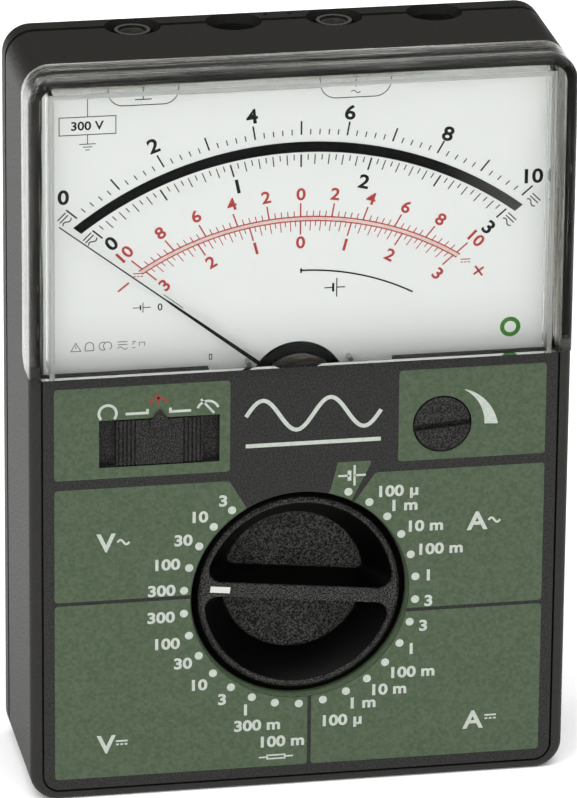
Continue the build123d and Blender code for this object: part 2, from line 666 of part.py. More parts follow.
def slide_switch():
    """Switch body behind the slider, with a slot for the slider's peg."""
    y = WALL_BACK + 1.7
    body = block((SLIDER_X - 11, SLIDER_X + 11), (y, y + 4.5), (SLIDER_Z - 4.6, SLIDER_Z + 4.6))
    slot = block((SLIDER_X - 5.2, SLIDER_X + 5.2), (y - 1, y + 2.5), (SLIDER_Z - 1.6, SLIDER_Z + 1.6))
    pins = [rod(SLIDER_X + 3.6 * (i - 2), SLIDER_Z + side * 2.6, 0.35, y + 4.5, y + 6.5)
            for i in range(5) for side in (-1, 1)]
    body = body - slot
    for pin in pins:
        body = body + pin
    return body


def adjust_knob():
    """Small flush adjusting knob with a screwdriver slot and a short shaft."""
    front = PANEL_FRONT - ADJUST_PROUD
    knob = rod(ADJUST_X, ADJUST_Z, ADJUST_R, front, WALL_BACK + 0.2)
    knob = chamfer(edges_at_depth(knob, front), 0.3)
    slot = block((ADJUST_X - 6, ADJUST_X + 6), (front - 1, front + 1.0), (ADJUST_Z - 0.6, ADJUST_Z + 0.6))
    knob = knob - turned(slot, ADJUST_X, ADJUST_Z, ADJUST_TURN)
    flange = rod(ADJUST_X, ADJUST_Z, ADJUST_R + 1.0, WALL_BACK + 0.2, WALL_BACK + 0.9)
    shaft = rod(ADJUST_X, ADJUST_Z, 1.6, WALL_BACK + 0.9, WALL_BACK + 4.0)
    return knob + flange + shaft


def potentiometer():
    """Square potentiometer body behind the adjusting knob."""
    y = WALL_BACK + 1.3
    body = block((ADJUST_X - 6.5, ADJUST_X + 6.5), (y, y + 5.0), (ADJUST_Z - 5.4, ADJUST_Z + 5.4))
    body = body - rod(ADJUST_X, ADJUST_Z, 1.65, y - 1, y + 3.4)
    for x in (ADJUST_X - 4, ADJUST_X, ADJUST_X + 4):
        body = body + block((x - 0.4, x + 0.4), (y + 3.6, y + 4.2), (ADJUST_Z - 8.6, ADJUST_Z - 5.4))
    return body


def socket_well(x):
    """Round cup sunk in the top face."""
    cup = pillar(x, SEAM, WELL_R + WELL_WALL, WELL_BOTTOM, WELL_TOP)
    cup = cup - pillar(x, SEAM, WELL_R, WELL_FLOOR, HEIGHT + 1)
    if x in SOCKET_X:
        cup = cup - pillar(x, SEAM, SOCKET_OUT_R, WELL_BOTTOM - 1, WELL_FLOOR + 1)
    return cup


def socket_collars():
    """Insulating sleeves round the two live sockets."""
    made = []
    for x in SOCKET_X:
        sleeve = pillar(x, SEAM, COLLAR_R, WELL_FLOOR, SOCKET_TOP)
        made.append(sleeve - pillar(x, SEAM, SOCKET_OUT_R, WELL_BOTTOM, HEIGHT))
    return Compound(made)


def socket_contact(x):
    """Plated 4 mm socket with a solder tail."""
    barrel = pillar(x, SEAM, SOCKET_OUT_R, WELL_BOTTOM, SOCKET_TOP - 0.5)
    barrel = barrel - pillar(x, SEAM, SOCKET_R, SOCKET_BOTTOM, HEIGHT)
    return barrel + pillar(x, SEAM, 1.0, TAIL_BOTTOM, WELL_BOTTOM)


def wire(points, radii, radius):
    """A round insulated wire along straight runs joined by arcs."""
    path = FilletPolyline(*points, radius=radii)
    start = Plane(origin=path @ 0, z_dir=path % 0)
    return sweep(start * Circle(radius), path=path)


def link_wires():
    """Wires from the two sockets down to the circuit board."""
    made = []
    for x in SOCKET_X:
        y = BOARD_BACK + 1.4
        route = [(x, SEAM, TAIL_BOTTOM), (x, SEAM, 74.0), (x, y, 66.5), (x, y, BOARD_TOP - 4.0)]
        made.append(wire(route, 6.0, 0.8))
    return Compound(made)


def circuit_board():
    """Main board with a hole for the selector shaft and four screw holes."""
    sheet = Pos(0, (BOARD_BOTTOM + BOARD_TOP) / 2) * Rectangle(2 * BOARD_HALF, BOARD_TOP - BOARD_BOTTOM)
    board = slab(sheet, BOARD_FRONT, BOARD_BACK)
    board = board - rod(0, KNOB_Z, KNOB_SHAFT_R + 0.4, BOARD_FRONT - 1, BOARD_BACK + 1)
    return cut_all(board, [rod(x, z, 1.2, BOARD_FRONT - 1, BOARD_BACK + 1) for x, z in BOARD_SCREWS])


def shunt():
    """Bent strip of resistance alloy for the highest current range."""
    y = BOARD_BACK
    strip = block((12, 32), (y + 5.4, y + 6.2), (54.5, 57.5))
    feet = [block((x - 0.4, x + 0.4), (y, y + 5.4), (54.5, 57.5)) for x in (12.4, 31.6)]
    return strip + feet[0] + feet[1]


def range_resistors():
    """Row of precision resistors standing off the board."""
    made = []
    for index in range(9):
        x = -32 + 4.6 * index
        body = extrude(Plane.XY.offset(48.0) * (Pos(x, BOARD_BACK + 1.5) * Circle(1.1)), amount=6.0)
        leads = [block((x - 0.25, x + 0.25), (BOARD_BACK, BOARD_BACK + 1.6), (z, z + 0.5))
                 for z in (47.5, 54.0)]
        made.append(body + leads[0] + leads[1])
    return Compound(made)


def trimmers():
    """Adjustable resistors for calibration."""
    made = []
    for x in (18.0, 26.0, 34.0):
        body = block((x - 3.2, x + 3.2), (BOARD_BACK, BOARD_BACK + 4.8), (43.5, 50.0))
        dial = rod(x, 46.8, 1.8, BOARD_BACK + 4.8, BOARD_BACK + 5.3)
        dial = dial - block((x - 2, x + 2), (BOARD_BACK + 5.0, 20), (46.6, 47.0))
        made.append(body + dial)
    return Compound(made)


def amplifier_chip():
    """Eight-legged amplifier package."""
    body = block((-31, -21.5), (BOARD_BACK + 0.5, BOARD_BACK + 3.8), (39.0, 45.2))
    for i in range(4):
        for z in (38.3, 45.2):
            x = -30.3 + 2.54 * i
            body = body + block((x, x + 0.5), (BOARD_BACK, BOARD_BACK + 2.0), (z, z + 0.7))
    return body


def capacitors():
    """Two radial electrolytic capacitors and a film block."""
    large = rod(-14.0, 42.0, 2.5, BOARD_BACK, BOARD_BACK + 8.0)
    small = rod(-36.0, 41.0, 2.0, BOARD_BACK, BOARD_BACK + 7.0)
    film = block((8.0, 12.0), (BOARD_BACK, BOARD_BACK + 6.0), (45.0, 52.0))
    return Compound([large, small, film])


def fuse():
    """Glass fuse tube."""
    return bar_x(FUSE_Y, FUSE_Z, 2.9, -10.0, 10.0)


def fuse_caps():
    """Metal end caps of the fuse."""
    return Compound([bar_x(FUSE_Y, FUSE_Z, 3.15, -16, -10), bar_x(FUSE_Y, FUSE_Z, 3.15, 10, 16)])


def fuse_clips():
    """Sprung clips that hold the fuse on the board."""
    made = []
    for x in (-13.0, 13.0):
        clip = block((x - 2.0, x + 2.0), (BOARD_BACK, FUSE_Y + 1.5), (FUSE_Z - 4.2, FUSE_Z + 4.2))
        clip = clip - block((x - 3, x + 3), (BOARD_BACK + 0.5, 20), (FUSE_Z - 3.7, FUSE_Z + 3.7))
        for side in (-1, 1):
            z = FUSE_Z + side * 3.47
            clip = clip + block((x - 2.0, x + 2.0), (FUSE_Y - 0.4, FUSE_Y + 0.4), (z - 0.3, z + 0.3))
        made.append(clip)
    return Compound(made)


def cell():
    """Round dry cell with its raised positive end."""
    button = bar_x(CELL_Y, CELL_Z, 2.75, CELL_HALF, CELL_HALF + 1.0)
    return bar_x(CELL_Y, CELL_Z, CELL_R, -CELL_HALF, CELL_HALF) + button


def cell_contacts():
    """Sprung plate and flat plate at the two ends of the cell."""
    height = (CELL_Z - 5, CELL_Z + 5)
    right = block((PLATE_X, PLATE_X + 0.5), (BOARD_BACK, 12), height)
    left = block((-PLATE_X - 0.5, -PLATE_X), (BOARD_BACK, 12), height)
    button = bar_x(CELL_Y, CELL_Z, 3.5, CELL_HALF + 1.0, PLATE_X)
    spring = Cone(4.5, 2.5, 2.15, align=(Align.CENTER, Align.CENTER, Align.MIN))
    return Compound([right + button, left + Pos(-PLATE_X, CELL_Y, CELL_Z) * Rot(0, 90, 0) * spring])


def battery_lid():
    """Lid of the cell and fuse compartment, held by one screw."""
    g = LID_GAP
    lid = block((-LID_HALF + g, LID_HALF - g), (BACK - LID_T + 0.02, BACK), (LID_BOTTOM + g, LID_TOP - g))
    lid = lid - rod(0, LID_TOP - 3, 1.3, BACK - 4, BACK + 1) - rod(0, LID_TOP - 3, 2.3, BACK - 0.9, BACK + 1)
    for index in range(5):
        z = LID_BOTTOM + 3.0 + 1.6 * index
        lid = lid - block((-12, 12), (BACK - 0.35, BACK + 1), (z, z + 0.7))
    return lid


def build():
    """Make every piece of the instrument."""
    nodes["front_shell"] = front_shell()
    nodes["rear_shell"] = rear_shell()
    nodes["front_panel"] = front_panel()
    nodes["clear_cover"] = clear_cover()
    nodes["scale_plate"] = scale_plate()
    nodes["mirror_strip"] = mirror_strip()
    nodes["dial_carrier"] = dial_carrier()
    screw_y = (PLATE_FRONT - 0.8, PLATE_FRONT, PLATE_FRONT + 2.1)
    nodes["scale_screws"] = screws(PLATE_SCREWS, 1.3, 0.65, *screw_y)
    nodes["pointer_stops"] = pointer_stops()
    nodes["yoke_ring"] = yoke_ring()
    nodes["magnet_core"] = magnet_core()
    nodes["core_plate"] = core_plate()
    nodes["core_posts"] = core_posts()
    nodes["front_bridge"] = bridge(BRIDGE_FRONT)
    nodes["rear_bridge"] = bridge(REAR_BRIDGE)
    nodes["bridge_pillars"] = bridge_pillars()
    nodes["jewel_screws"] = jewel_screws()
    nodes["coil_former"] = coil_former()
    nodes["coil_winding"] = coil_winding()
    nodes["pivots"] = pivots()
    nodes["pointer"] = pointer()
    nodes["balance_weight"] = balance_weights()
    nodes["hairsprings"] = hairsprings()
    nodes["selector_knob"] = selector_knob()
    nodes["selector_index"] = knob_index()
    nodes["wiper_carrier"] = wiper_carrier()
    nodes["wipers"] = wipers()
    nodes["retaining_clip"] = retaining_clip()
    nodes["detent_spring"] = detent_spring()
    nodes["contact_tracks"] = contact_tracks()
    nodes["mode_slider"] = mode_slider()
    nodes["slide_switch"] = slide_switch()
    nodes["adjust_knob"] = adjust_knob()
    nodes["potentiometer"] = potentiometer()
    for number, x in enumerate(WELL_X, start=1):
        nodes[f"socket_well_{number}"] = socket_well(x)
    nodes["socket_collars"] = socket_collars()
    nodes["socket_contact_left"] = socket_contact(SOCKET_X[0])
    nodes["socket_contact_right"] = socket_contact(SOCKET_X[1])
    nodes["link_wires"] = link_wires()
    nodes["circuit_board"] = circuit_board()
    nodes["board_screws"] = screws(BOARD_SCREWS, 2.2, 0.95, BOARD_BACK + 1.4, BOARD_BACK, -11.0)
    nodes["shunt"] = shunt()
    nodes["range_resistors"] = range_resistors()
    nodes["trimmers"] = trimmers()
    nodes["amplifier_chip"] = amplifier_chip()
    nodes["capacitors"] = capacitors()
    nodes["fuse"] = fuse()
    nodes["fuse_caps"] = fuse_caps()
    nodes["fuse_clips"] = fuse_clips()
    nodes["cell"] = cell()
    nodes["cell_contacts"] = cell_contacts()
    nodes["battery_lid"] = battery_lid()
    nodes["lid_screw"] = screws([(0, LID_TOP - 3)], 2.2, 1.05, BACK - 0.05, BACK - 0.9, BACK - 6.5)
    nodes["case_screws"] = screws(CASE_SCREWS, 2.55, 1.2, BACK - 1.2, BACK - 3.0, -5.0)


build()
os.makedirs("parts", exist_ok=True)
for name, shape in nodes.items():
    export_step(shape, f"parts/{name}.step")
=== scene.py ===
import json
from math import asin, atan2, cos, degrees, hypot, pi, radians, sin, sqrt

import bpy
from mathutils import Matrix, Vector
from mathutils.geometry import tessellate_polygon


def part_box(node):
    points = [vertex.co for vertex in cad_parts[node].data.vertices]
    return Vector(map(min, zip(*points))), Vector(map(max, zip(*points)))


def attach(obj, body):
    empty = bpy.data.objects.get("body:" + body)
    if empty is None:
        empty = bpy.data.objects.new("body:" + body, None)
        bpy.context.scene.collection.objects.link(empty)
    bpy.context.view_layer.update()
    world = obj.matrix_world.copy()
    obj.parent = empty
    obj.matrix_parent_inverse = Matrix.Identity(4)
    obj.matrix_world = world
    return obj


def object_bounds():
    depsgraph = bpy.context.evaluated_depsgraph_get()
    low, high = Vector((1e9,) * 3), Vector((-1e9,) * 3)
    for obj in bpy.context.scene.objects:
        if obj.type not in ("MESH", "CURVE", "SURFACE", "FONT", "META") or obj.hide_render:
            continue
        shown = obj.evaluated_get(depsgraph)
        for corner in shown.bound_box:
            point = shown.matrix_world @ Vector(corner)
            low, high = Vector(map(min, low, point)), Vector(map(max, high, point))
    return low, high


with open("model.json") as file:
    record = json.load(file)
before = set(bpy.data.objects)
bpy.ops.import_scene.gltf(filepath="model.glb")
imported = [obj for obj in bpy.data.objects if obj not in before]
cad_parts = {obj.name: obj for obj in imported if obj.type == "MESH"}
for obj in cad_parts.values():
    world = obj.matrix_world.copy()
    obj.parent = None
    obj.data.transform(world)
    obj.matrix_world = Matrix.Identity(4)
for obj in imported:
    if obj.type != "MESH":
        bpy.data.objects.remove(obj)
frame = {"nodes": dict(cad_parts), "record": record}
cad_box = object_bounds()

MM = 0.001
nodes = frame["nodes"]

# ---- places taken from the frame, in mm ----


def reach(node):
    """The low and high corners of a CAD node in mm."""
    low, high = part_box(node)
    return [value / MM for value in low], [value / MM for value in high]


def middle(node, axis):
    """The middle of a CAD node along one axis, in mm."""
    low, high = reach(node)
    return (low[axis] + high[axis]) / 2


PANEL_Y = reach("front_panel")[0][1]
DIAL_Y = reach("scale_plate")[0][1]
KNOB_Z = middle("selector_knob", 2)
ADJUST_X = middle("adjust_knob", 0)
ADJUST_Z = middle("adjust_knob", 2)
ADJUST_Y = reach("adjust_knob")[0][1]
SLIDER_X = middle("mode_slider", 0)
SLOT_Z = middle("slide_switch", 2)
FILM = 0.03

# ---- driving dimensions of the print, in mm ----
DISH_R = 20.45
DOT_RING_R = 21.7
DOT_R = 0.76
PANEL_DIGIT = 2.0
GROUP_LETTER = 3.35
SCALE_X = 0.25
SCALE_Z = 76.4
ARC_STEP = radians(2)

# ---- the two knobs, in mm; the slope of the adjuster's slot is in degrees ----
WELL_DEPTH = 7.5
ADJUST_R = 5.2
ADJUST_SLOT_HALF = 0.6
ADJUST_SLOPE = 4.7

# ---- brightness of the sky, behind against in front, and low against high ----
SKY_BACK = 0.03
SKY_LOW = 1.1
SKY_HIGH = 2.4


# ---------------------------------------------------------------- materials

class Surface:
    """One Principled material with object-space texture nodes."""

    def __init__(self, name, colour, rough, **settings):
        self.material = bpy.data.materials.new(name)
        self.material.use_nodes = True
        self.tree = self.material.node_tree
        self.shader = self.tree.nodes["Principled BSDF"]
        self.colour = colour
        self.shader.inputs["Base Color"].default_value = (*colour, 1)
        self.shader.inputs["Roughness"].default_value = rough
        for key, value in settings.items():
            self.shader.inputs[key.replace("_", " ")].default_value = value
        self.place = self.add("ShaderNodeTexCoord").outputs["Object"]
        self.normal = None

    def add(self, kind, **inputs):
        """A new node with some of its inputs set."""
        node = self.tree.nodes.new(kind)
        for key, value in inputs.items():
            node.inputs[key.replace("_", " ")].default_value = value
        return node

    def link(self, start, end):
        self.tree.links.new(start, end)

    def noise(self, scale, detail=3.0, stretch=(1, 1, 1)):
        """Noise over the object's own coordinates; scale is in cells per mm."""
        mapping = self.add("ShaderNodeMapping", Scale=stretch)
        self.link(self.place, mapping.inputs["Vector"])
        noise = self.add("ShaderNodeTexNoise", Scale=scale / MM, Detail=detail)
        self.link(mapping.outputs["Vector"], noise.inputs["Vector"])
        return noise.outputs["Fac"]

    def part(self, axis):
        """One coordinate of the surface point, in metres."""
        split = self.add("ShaderNodeSeparateXYZ")
        self.link(self.place, split.inputs["Vector"])
        return split.outputs[axis]

    def ranged(self, value, low, high, to_low, to_high):
        """A value mapped from one range to another, held at its ends."""
        node = self.add("ShaderNodeMapRange", From_Min=low, From_Max=high, To_Min=to_low, To_Max=to_high)
        self.link(value, node.inputs["Value"])
        return node.outputs["Result"]

    def towards(self, factor, other):
        """Mix the base colour towards another one; returns the socket for the colour beneath."""
        mix = self.add("ShaderNodeMix")
        mix.data_type = "RGBA"
        beneath, above = [s for s in mix.inputs if s.type == "RGBA"]
        above.default_value = (*other, 1)
        self.link(factor, mix.inputs["Factor"])
        result = [s for s in mix.outputs if s.type == "RGBA"][0]
        self.link(result, self.shader.inputs["Base Color"])
        return beneath

    def mottle(self, factor, other):
        """Base colour mixed with another colour by a factor from 0 to 1."""
        self.towards(factor, other).default_value = (*self.colour, 1)

    def cover(self, factor, other):
        """What the base colour is linked to so far, covered by another colour where the factor is 1."""
        so_far = self.shader.inputs["Base Color"].links[0].from_socket
        self.link(so_far, self.towards(factor, other))

    def maths(self, operation, *values):
        """A Math node over one or more texture values."""
        node = self.add("ShaderNodeMath")
        node.operation = operation
        for index, value in enumerate(values):
            self.link(value, node.inputs[index])
        return node.outputs["Value"]

    def product(self, first, second):
        return self.maths("MULTIPLY", first, second)

    def largest(self, first, second):
        return self.maths("MAXIMUM", first, second)

    def choose(self, factor, first, second):
        """The first value where the factor is 0, the second where it is 1."""
        node = self.add("ShaderNodeMix")
        for socket, value in zip((node.inputs[0], node.inputs[2], node.inputs[3]), (factor, first, second)):
            self.link(value, socket)
        return node.outputs[0]

    def gloss(self, value):
        """Roughness from a texture value."""
        self.link(value, self.shader.inputs["Roughness"])

    def bump(self, height, depth, strength=1.0):
        """Small relief; depth is in mm."""
        node = self.add("ShaderNodeBump", Distance=depth * MM, Strength=strength)
        self.link(height, node.inputs["Height"])
        if self.normal is not None:
            self.link(self.normal, node.inputs["Normal"])
        self.normal = node.outputs["Normal"]
        self.link(self.normal, self.shader.inputs["Normal"])


def grained(name, colour, rough, cell=3.2, depth=0.03, spread=0.25, **settings):
    """Moulded plastic with a fine spark-eroded grain."""
    made = Surface(name, colour, rough, **settings)
    fine = made.noise(cell, 2.0)
    broad = made.noise(0.08, 3.0)
    made.mottle(made.ranged(broad, 0.3, 0.7, 0, 1), tuple(c * (1 + spread) for c in colour))
    made.gloss(made.ranged(fine, 0.3, 0.7, rough - 0.06, rough + 0.1))
    made.bump(fine, depth)
    return made.material


def case_plastic():
    """Dark moulded case: fine grain, a brown cast, and painted shade in the channel between the two halves.
    """
    made = Surface("case_plastic", (0.0085, 0.0080, 0.0066), 0.5, Specular_IOR_Level=0.22)
    joint = reach("rear_shell")[0][1]
    depth = made.part("Y")
    after = made.ranged(depth, (joint - 0.25) * MM, (joint - 0.05) * MM, 0, 1)
    before = made.ranged(depth, (joint + 1.0) * MM, (joint + 0.85) * MM, 0, 1)
    fine = made.noise(2.2, 2.0)
    speck = made.noise(3.4, 2.0)
    made.mottle(made.ranged(speck, 0.35, 0.68, 0, 1), (0.0145, 0.0138, 0.0118))
    # Painted shade: a near-black band along the channel between the two halves, where shade falls in the
    # seam.
    made.cover(made.product(after, before), (0.0003, 0.0003, 0.0003))
    made.gloss(made.ranged(fine, 0.3, 0.7, 0.44, 0.62))
    made.bump(fine, 0.045)
    return made.material


def polished(name, colour, rough, **settings):
    """Smooth moulded plastic with faint flow marks."""
    made = Surface(name, colour, rough, **settings)
    broad = made.noise(0.15, 2.0)
    made.mottle(made.ranged(broad, 0.3, 0.7, 0, 1), tuple(c * 1.2 for c in colour))
    made.gloss(made.ranged(broad, 0.3, 0.7, rough, rough + 0.08))
    made.bump(made.noise(0.6, 1.0), 0.004)
    return made.material


def metal(name, colour, rough, stretch=(1, 1, 1), cell=2.0, depth=0.006):
    """Metal with a drawn or brushed grain along the unstretched axes."""
    made = Surface(name, colour, rough, Metallic=1.0)
    lines = made.noise(cell, 4.0, stretch)
    made.mottle(made.ranged(lines, 0.3, 0.7, 0, 1), tuple(c * 0.72 for c in colour))
    made.gloss(made.ranged(lines, 0.25, 0.75, rough - 0.05, rough + 0.15))
    made.bump(lines, depth)
    return made.material


def panel_material(name, colour, rough, other):
    """Finely pebbled panel; the print takes the same pebbling."""
    made = Surface(name, colour, rough, Specular_IOR_Level=0.22)
    pebble = made.noise(2.6, 3.0)
    cloud = made.noise(3.0, 4.0)
    made.mottle(made.ranged(cloud, 0.36, 0.68, 0, 1), other)
    made.gloss(made.ranged(pebble, 0.3, 0.7, rough - 0.05, rough + 0.1))
    made.bump(pebble, 0.05)
    return made.material


def acrylic():
    """Clear moulded acrylic: a clear window whose rougher, streaky edges carry a warm-grey tint of painted
    shade.
    """
    made = Surface("clear_acrylic", (0.975, 0.985, 0.975), 0.0, Transmission_Weight=1.0, IOR=1.47)
    made.shader.inputs["Specular Tint"].default_value = (0.06, 0.06, 0.06, 1)
    right = made.ranged(made.part("X"), 45.6 * MM, 46.4 * MM, 0, 1)
    left = made.ranged(made.part("X"), -47.2 * MM, -47.9 * MM, 0, 1)
    top = made.ranged(made.part("Z"), 137.3 * MM, 137.9 * MM, 0, 1)
    edge = made.largest(made.largest(left, right), top)
    upright = made.noise(1.1, 3.0, (1, 1, 0.03))
    level = made.noise(1.1, 3.0, (0.03, 1, 1))
    streak = made.choose(top, upright, level)
    # Painted shade: the streaky warm-grey tint of the edges stands in for the darker surroundings seen
    # through them; their rougher, streaky surface is the acrylic's own.
    made.mottle(made.product(edge, made.ranged(streak, 0.38, 0.62, 0.3, 1.0)), (0.40, 0.395, 0.35))
    made.gloss(made.product(edge, made.ranged(streak, 0.3, 0.7, 0.05, 0.3)))
    made.bump(made.product(edge, streak), 0.12)
    return made.material


def glass_tube():
    """Thin clear glass of the fuse."""
    made = Surface("fuse_glass", (0.95, 0.97, 0.95), 0.02, Transmission_Weight=1.0, IOR=1.5)
    made.mottle(made.ranged(made.noise(0.3, 2.0), 0.3, 0.7, 0, 1), (0.88, 0.93, 0.9))
    made.bump(made.noise(0.4, 1.0), 0.005)
    return made.material


def mirror_film():
    """Dark mirror film with a painted reflection that greys it towards its right end."""
    made = Surface("mirror", (0.0015, 0.0015, 0.0017), 0.12, Specular_IOR_Level=0.03)
    # Painted reflection: the film greys towards its right end.
    made.mottle(made.ranged(made.part("X"), 26 * MM, 41 * MM, 0, 1), (0.075, 0.075, 0.075))
    made.gloss(made.ranged(made.noise(1.5, 2.0), 0.3, 0.7, 0.1, 0.2))
    made.bump(made.noise(1.0, 2.0), 0.002)
    return made.material


def plate_paint():
    """White enamel with painted shade that greys it a little towards the foot of the plate."""
    made = Surface("plate_white", (0.88, 0.89, 0.88), 0.45, Specular_IOR_Level=0.2)
    # Painted shade: the enamel greys towards the foot of the plate, where the panel's edge shades it.
    made.mottle(made.ranged(made.part("Z"), 94 * MM, 80 * MM, 0, 1), (0.74, 0.75, 0.73))
    made.gloss(made.ranged(made.noise(2.0, 2.0), 0.3, 0.7, 0.4, 0.5))
    made.bump(made.noise(3.0, 2.0), 0.003)
    return made.material


def knob_plastic():
    """Black knob: speckled grain on its front and on the floors of the wells, plain black between them."""
    rim_y = reach("selector_knob")[0][1]
    floor_y = rim_y + WELL_DEPTH
    made = Surface("knob_black", (0.0006, 0.0006, 0.0006), 0.3, Specular_IOR_Level=0.1)
    depth = made.part("Y")
    front = made.ranged(depth, (rim_y + 0.3) * MM, (rim_y + 0.5) * MM, 1, 0)
    floor = made.ranged(depth, (floor_y - 0.5) * MM, (floor_y - 0.2) * MM, 0, 1)
    grained_part = made.largest(front, floor)
    grain = made.noise(3.4, 1.0)
    broad = made.noise(0.25, 3.0)
    speckle = made.product(made.ranged(grain, 0.40, 0.68, 0.02, 1), made.ranged(broad, 0.3, 0.7, 0.65, 1))
    made.mottle(made.product(grained_part, speckle), (0.066, 0.065, 0.060))
    made.gloss(made.ranged(grained_part, 0, 1, 0.3, 0.5))
    made.bump(made.product(grained_part, grain), 0.08)
    return made.material


def speckled(name, colour, tips):
    """Black plastic whose raised grain is lighter grey at its tips."""
    made = Surface(name, colour, 0.4, Specular_IOR_Level=0.12)
    grain = made.noise(4.2, 2.0)
    made.mottle(made.ranged(grain, 0.42, 0.74, 0, 1), tips)
    made.gloss(made.ranged(grain, 0.3, 0.7, 0.5, 0.35))
    made.bump(grain, 0.08)
    return made.material


def core_metal():
    """Brushed core of the movement, brown-grey, with its grain across."""
    made = Surface("magnet_steel", (0.13, 0.11, 0.09), 0.38, Metallic=0.9)
    lines = made.noise(0.6, 5.0, (1, 1, 9))
    made.mottle(made.ranged(lines, 0.35, 0.65, 0, 1), (0.32, 0.29, 0.25))
    made.gloss(made.ranged(lines, 0.3, 0.7, 0.3, 0.5))
    made.bump(lines, 0.02)
    return made.material


def board_laminate():
    """Green solder resist with the weave of the glass cloth showing through."""
    made = Surface("board_green", (0.03, 0.16, 0.06), 0.3)
    made.mottle(made.ranged(made.noise(0.9, 2.0, (1, 1, 6)), 0.4, 0.6, 0, 1), (0.02, 0.10, 0.04))
    made.gloss(made.ranged(made.noise(2.0, 2.0), 0.3, 0.7, 0.22, 0.4))
    made.bump(made.noise(1.6, 2.0), 0.01)
    return made.material


def materials():
    """One material for each material slot of the record."""
    return {
        "case_plastic": case_plastic(),
        "panel_print": panel_material("panel_print", (0.003, 0.003, 0.0028), 0.5, (0.021, 0.021, 0.0195)),
        "clear_acrylic": acrylic(),
        "plate_white": plate_paint(),
        "mirror": mirror_film(),
        "black_moulding": grained("black_moulding", (0.004, 0.004, 0.004), 0.45, Specular_IOR_Level=0.2),
        "soft_iron": grained("soft_iron", (0.004, 0.004, 0.004), 0.35, 1.2, 0.02, Specular_IOR_Level=0.1),
        "magnet_steel": core_metal(),
        "brass": metal("brass", (0.72, 0.52, 0.24), 0.3, (1, 6, 1)),
        "steel": metal("steel", (0.55, 0.55, 0.54), 0.3),
        "aluminium": metal("aluminium", (0.80, 0.80, 0.80), 0.35, (6, 1, 1)),
        "copper_wire": metal("copper_wire", (0.60, 0.24, 0.09), 0.35, (1, 1, 8)),
        "pointer_black": grained(
            "pointer_black", (0.005, 0.005, 0.005), 0.5, 4.0, 0.004, Specular_IOR_Level=0.1,
        ),
        "bronze": metal("bronze", (0.60, 0.38, 0.18), 0.3),
        "knob_black": knob_plastic(),
        "white_inlay": grained(
            "white_inlay", (0.44, 0.45, 0.42), 0.5, 2.0, 0.02, 0.08, Specular_IOR_Level=0.2,
        ),
        "carrier_nylon": grained("carrier_nylon", (0.66, 0.63, 0.53), 0.5, 1.5, 0.02, 0.1),
        "control_black": speckled("control_black", (0.0015, 0.0015, 0.0015), (0.050, 0.049, 0.046)),
        "gold": metal("gold", (0.83, 0.62, 0.24), 0.25),
        "nickel": metal("nickel", (0.42, 0.40, 0.36), 0.3, (1, 1, 5)),
        "wire_red": polished("wire_red", (0.40, 0.02, 0.015), 0.35),
        "board_green": board_laminate(),
        "resistor_blue": polished("resistor_blue", (0.10, 0.26, 0.42), 0.25),
        "trimmer_blue": polished("trimmer_blue", (0.03, 0.10, 0.42), 0.3),
        "capacitor_blue": polished("capacitor_blue", (0.015, 0.02, 0.07), 0.25),
        "fuse_glass": glass_tube(),
        "cell_jacket": polished("cell_jacket", (0.03, 0.035, 0.04), 0.3),
    }


def paint_nodes(made):
    """Every CAD node takes the material of its slot."""
    for part in frame["record"]["subparts"]:
        mesh = nodes[part["node"]].data
        mesh.materials.clear()
        mesh.materials.append(made[part["material_slot"]])


def ink(name, colour, rough=0.5, relief=0.0, other=None):
    """Screen-printed ink; relief carries the pebbling of what it is printed on."""
    made = Surface(name, colour, rough, Specular_IOR_Level=0.2)
    cloud = made.noise(1.5, 6.0)
    made.mottle(made.ranged(cloud, 0.36, 0.64, 0, 1), other or tuple(c * 0.86 for c in colour))
    made.gloss(made.ranged(cloud, 0.3, 0.7, rough, rough + 0.1))
    made.bump(made.noise(2.6, 3.0), max(relief, 0.002))
    return made.material


# ---------------------------------------------------------------- print

def riding_piece(name, points, faces, material, body):
    """A mesh made from points in mm, which rides on a body and takes the material it is given."""
    mesh = bpy.data.meshes.new(name)
    mesh.from_pydata([(x * MM, y * MM, z * MM) for x, y, z in points], [], faces)
    mesh.update()
    mesh.materials.append(material)
    piece = bpy.data.objects.new(name, mesh)
    bpy.context.scene.collection.objects.link(piece)
    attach(piece, body)
    return piece


def arc(x, z, radius, start, end):
    """Points along an arc; angles in degrees, anticlockwise from +X."""
    sweep = radians(end - start)
    count = max(2, int(abs(sweep) / ARC_STEP) + 2)
    angles = [radians(start) + sweep * i / (count - 1) for i in range(count)]
    return [(x + radius * cos(a), z + radius * sin(a)) for a in angles]


def ring(x, z, radius):
    """A closed circle of points."""
    return arc(x, z, radius, 0, 360)[:-1]


def rectangle(left, right, low, high):
    """The corners of an upright rectangle, anticlockwise."""
    return [(left, low), (right, low), (right, high), (left, high)]


def rounded(corners, radius=0.7):
    """A closed outline whose square corners are rounded off; a corner given as (x, z, 0) stays sharp."""
    outline = []
    for index, corner in enumerate(corners):
        here = Vector(corner[:2])
        if len(corner) == 3:
            outline.append(tuple(here))
            continue
        before = (Vector(corners[index - 1][:2]) - here).normalized() * radius
        after = (Vector(corners[(index + 1) % len(corners)][:2]) - here).normalized() * radius
        for step in range(6):
            t = step / 5
            outline.append(tuple(here + before * (1 - t) ** 2 + after * t ** 2))
    return outline


def sharp(points):
    """Points marked as sharp corners for rounded()."""
    return [(x, z, 0) for x, z in points]


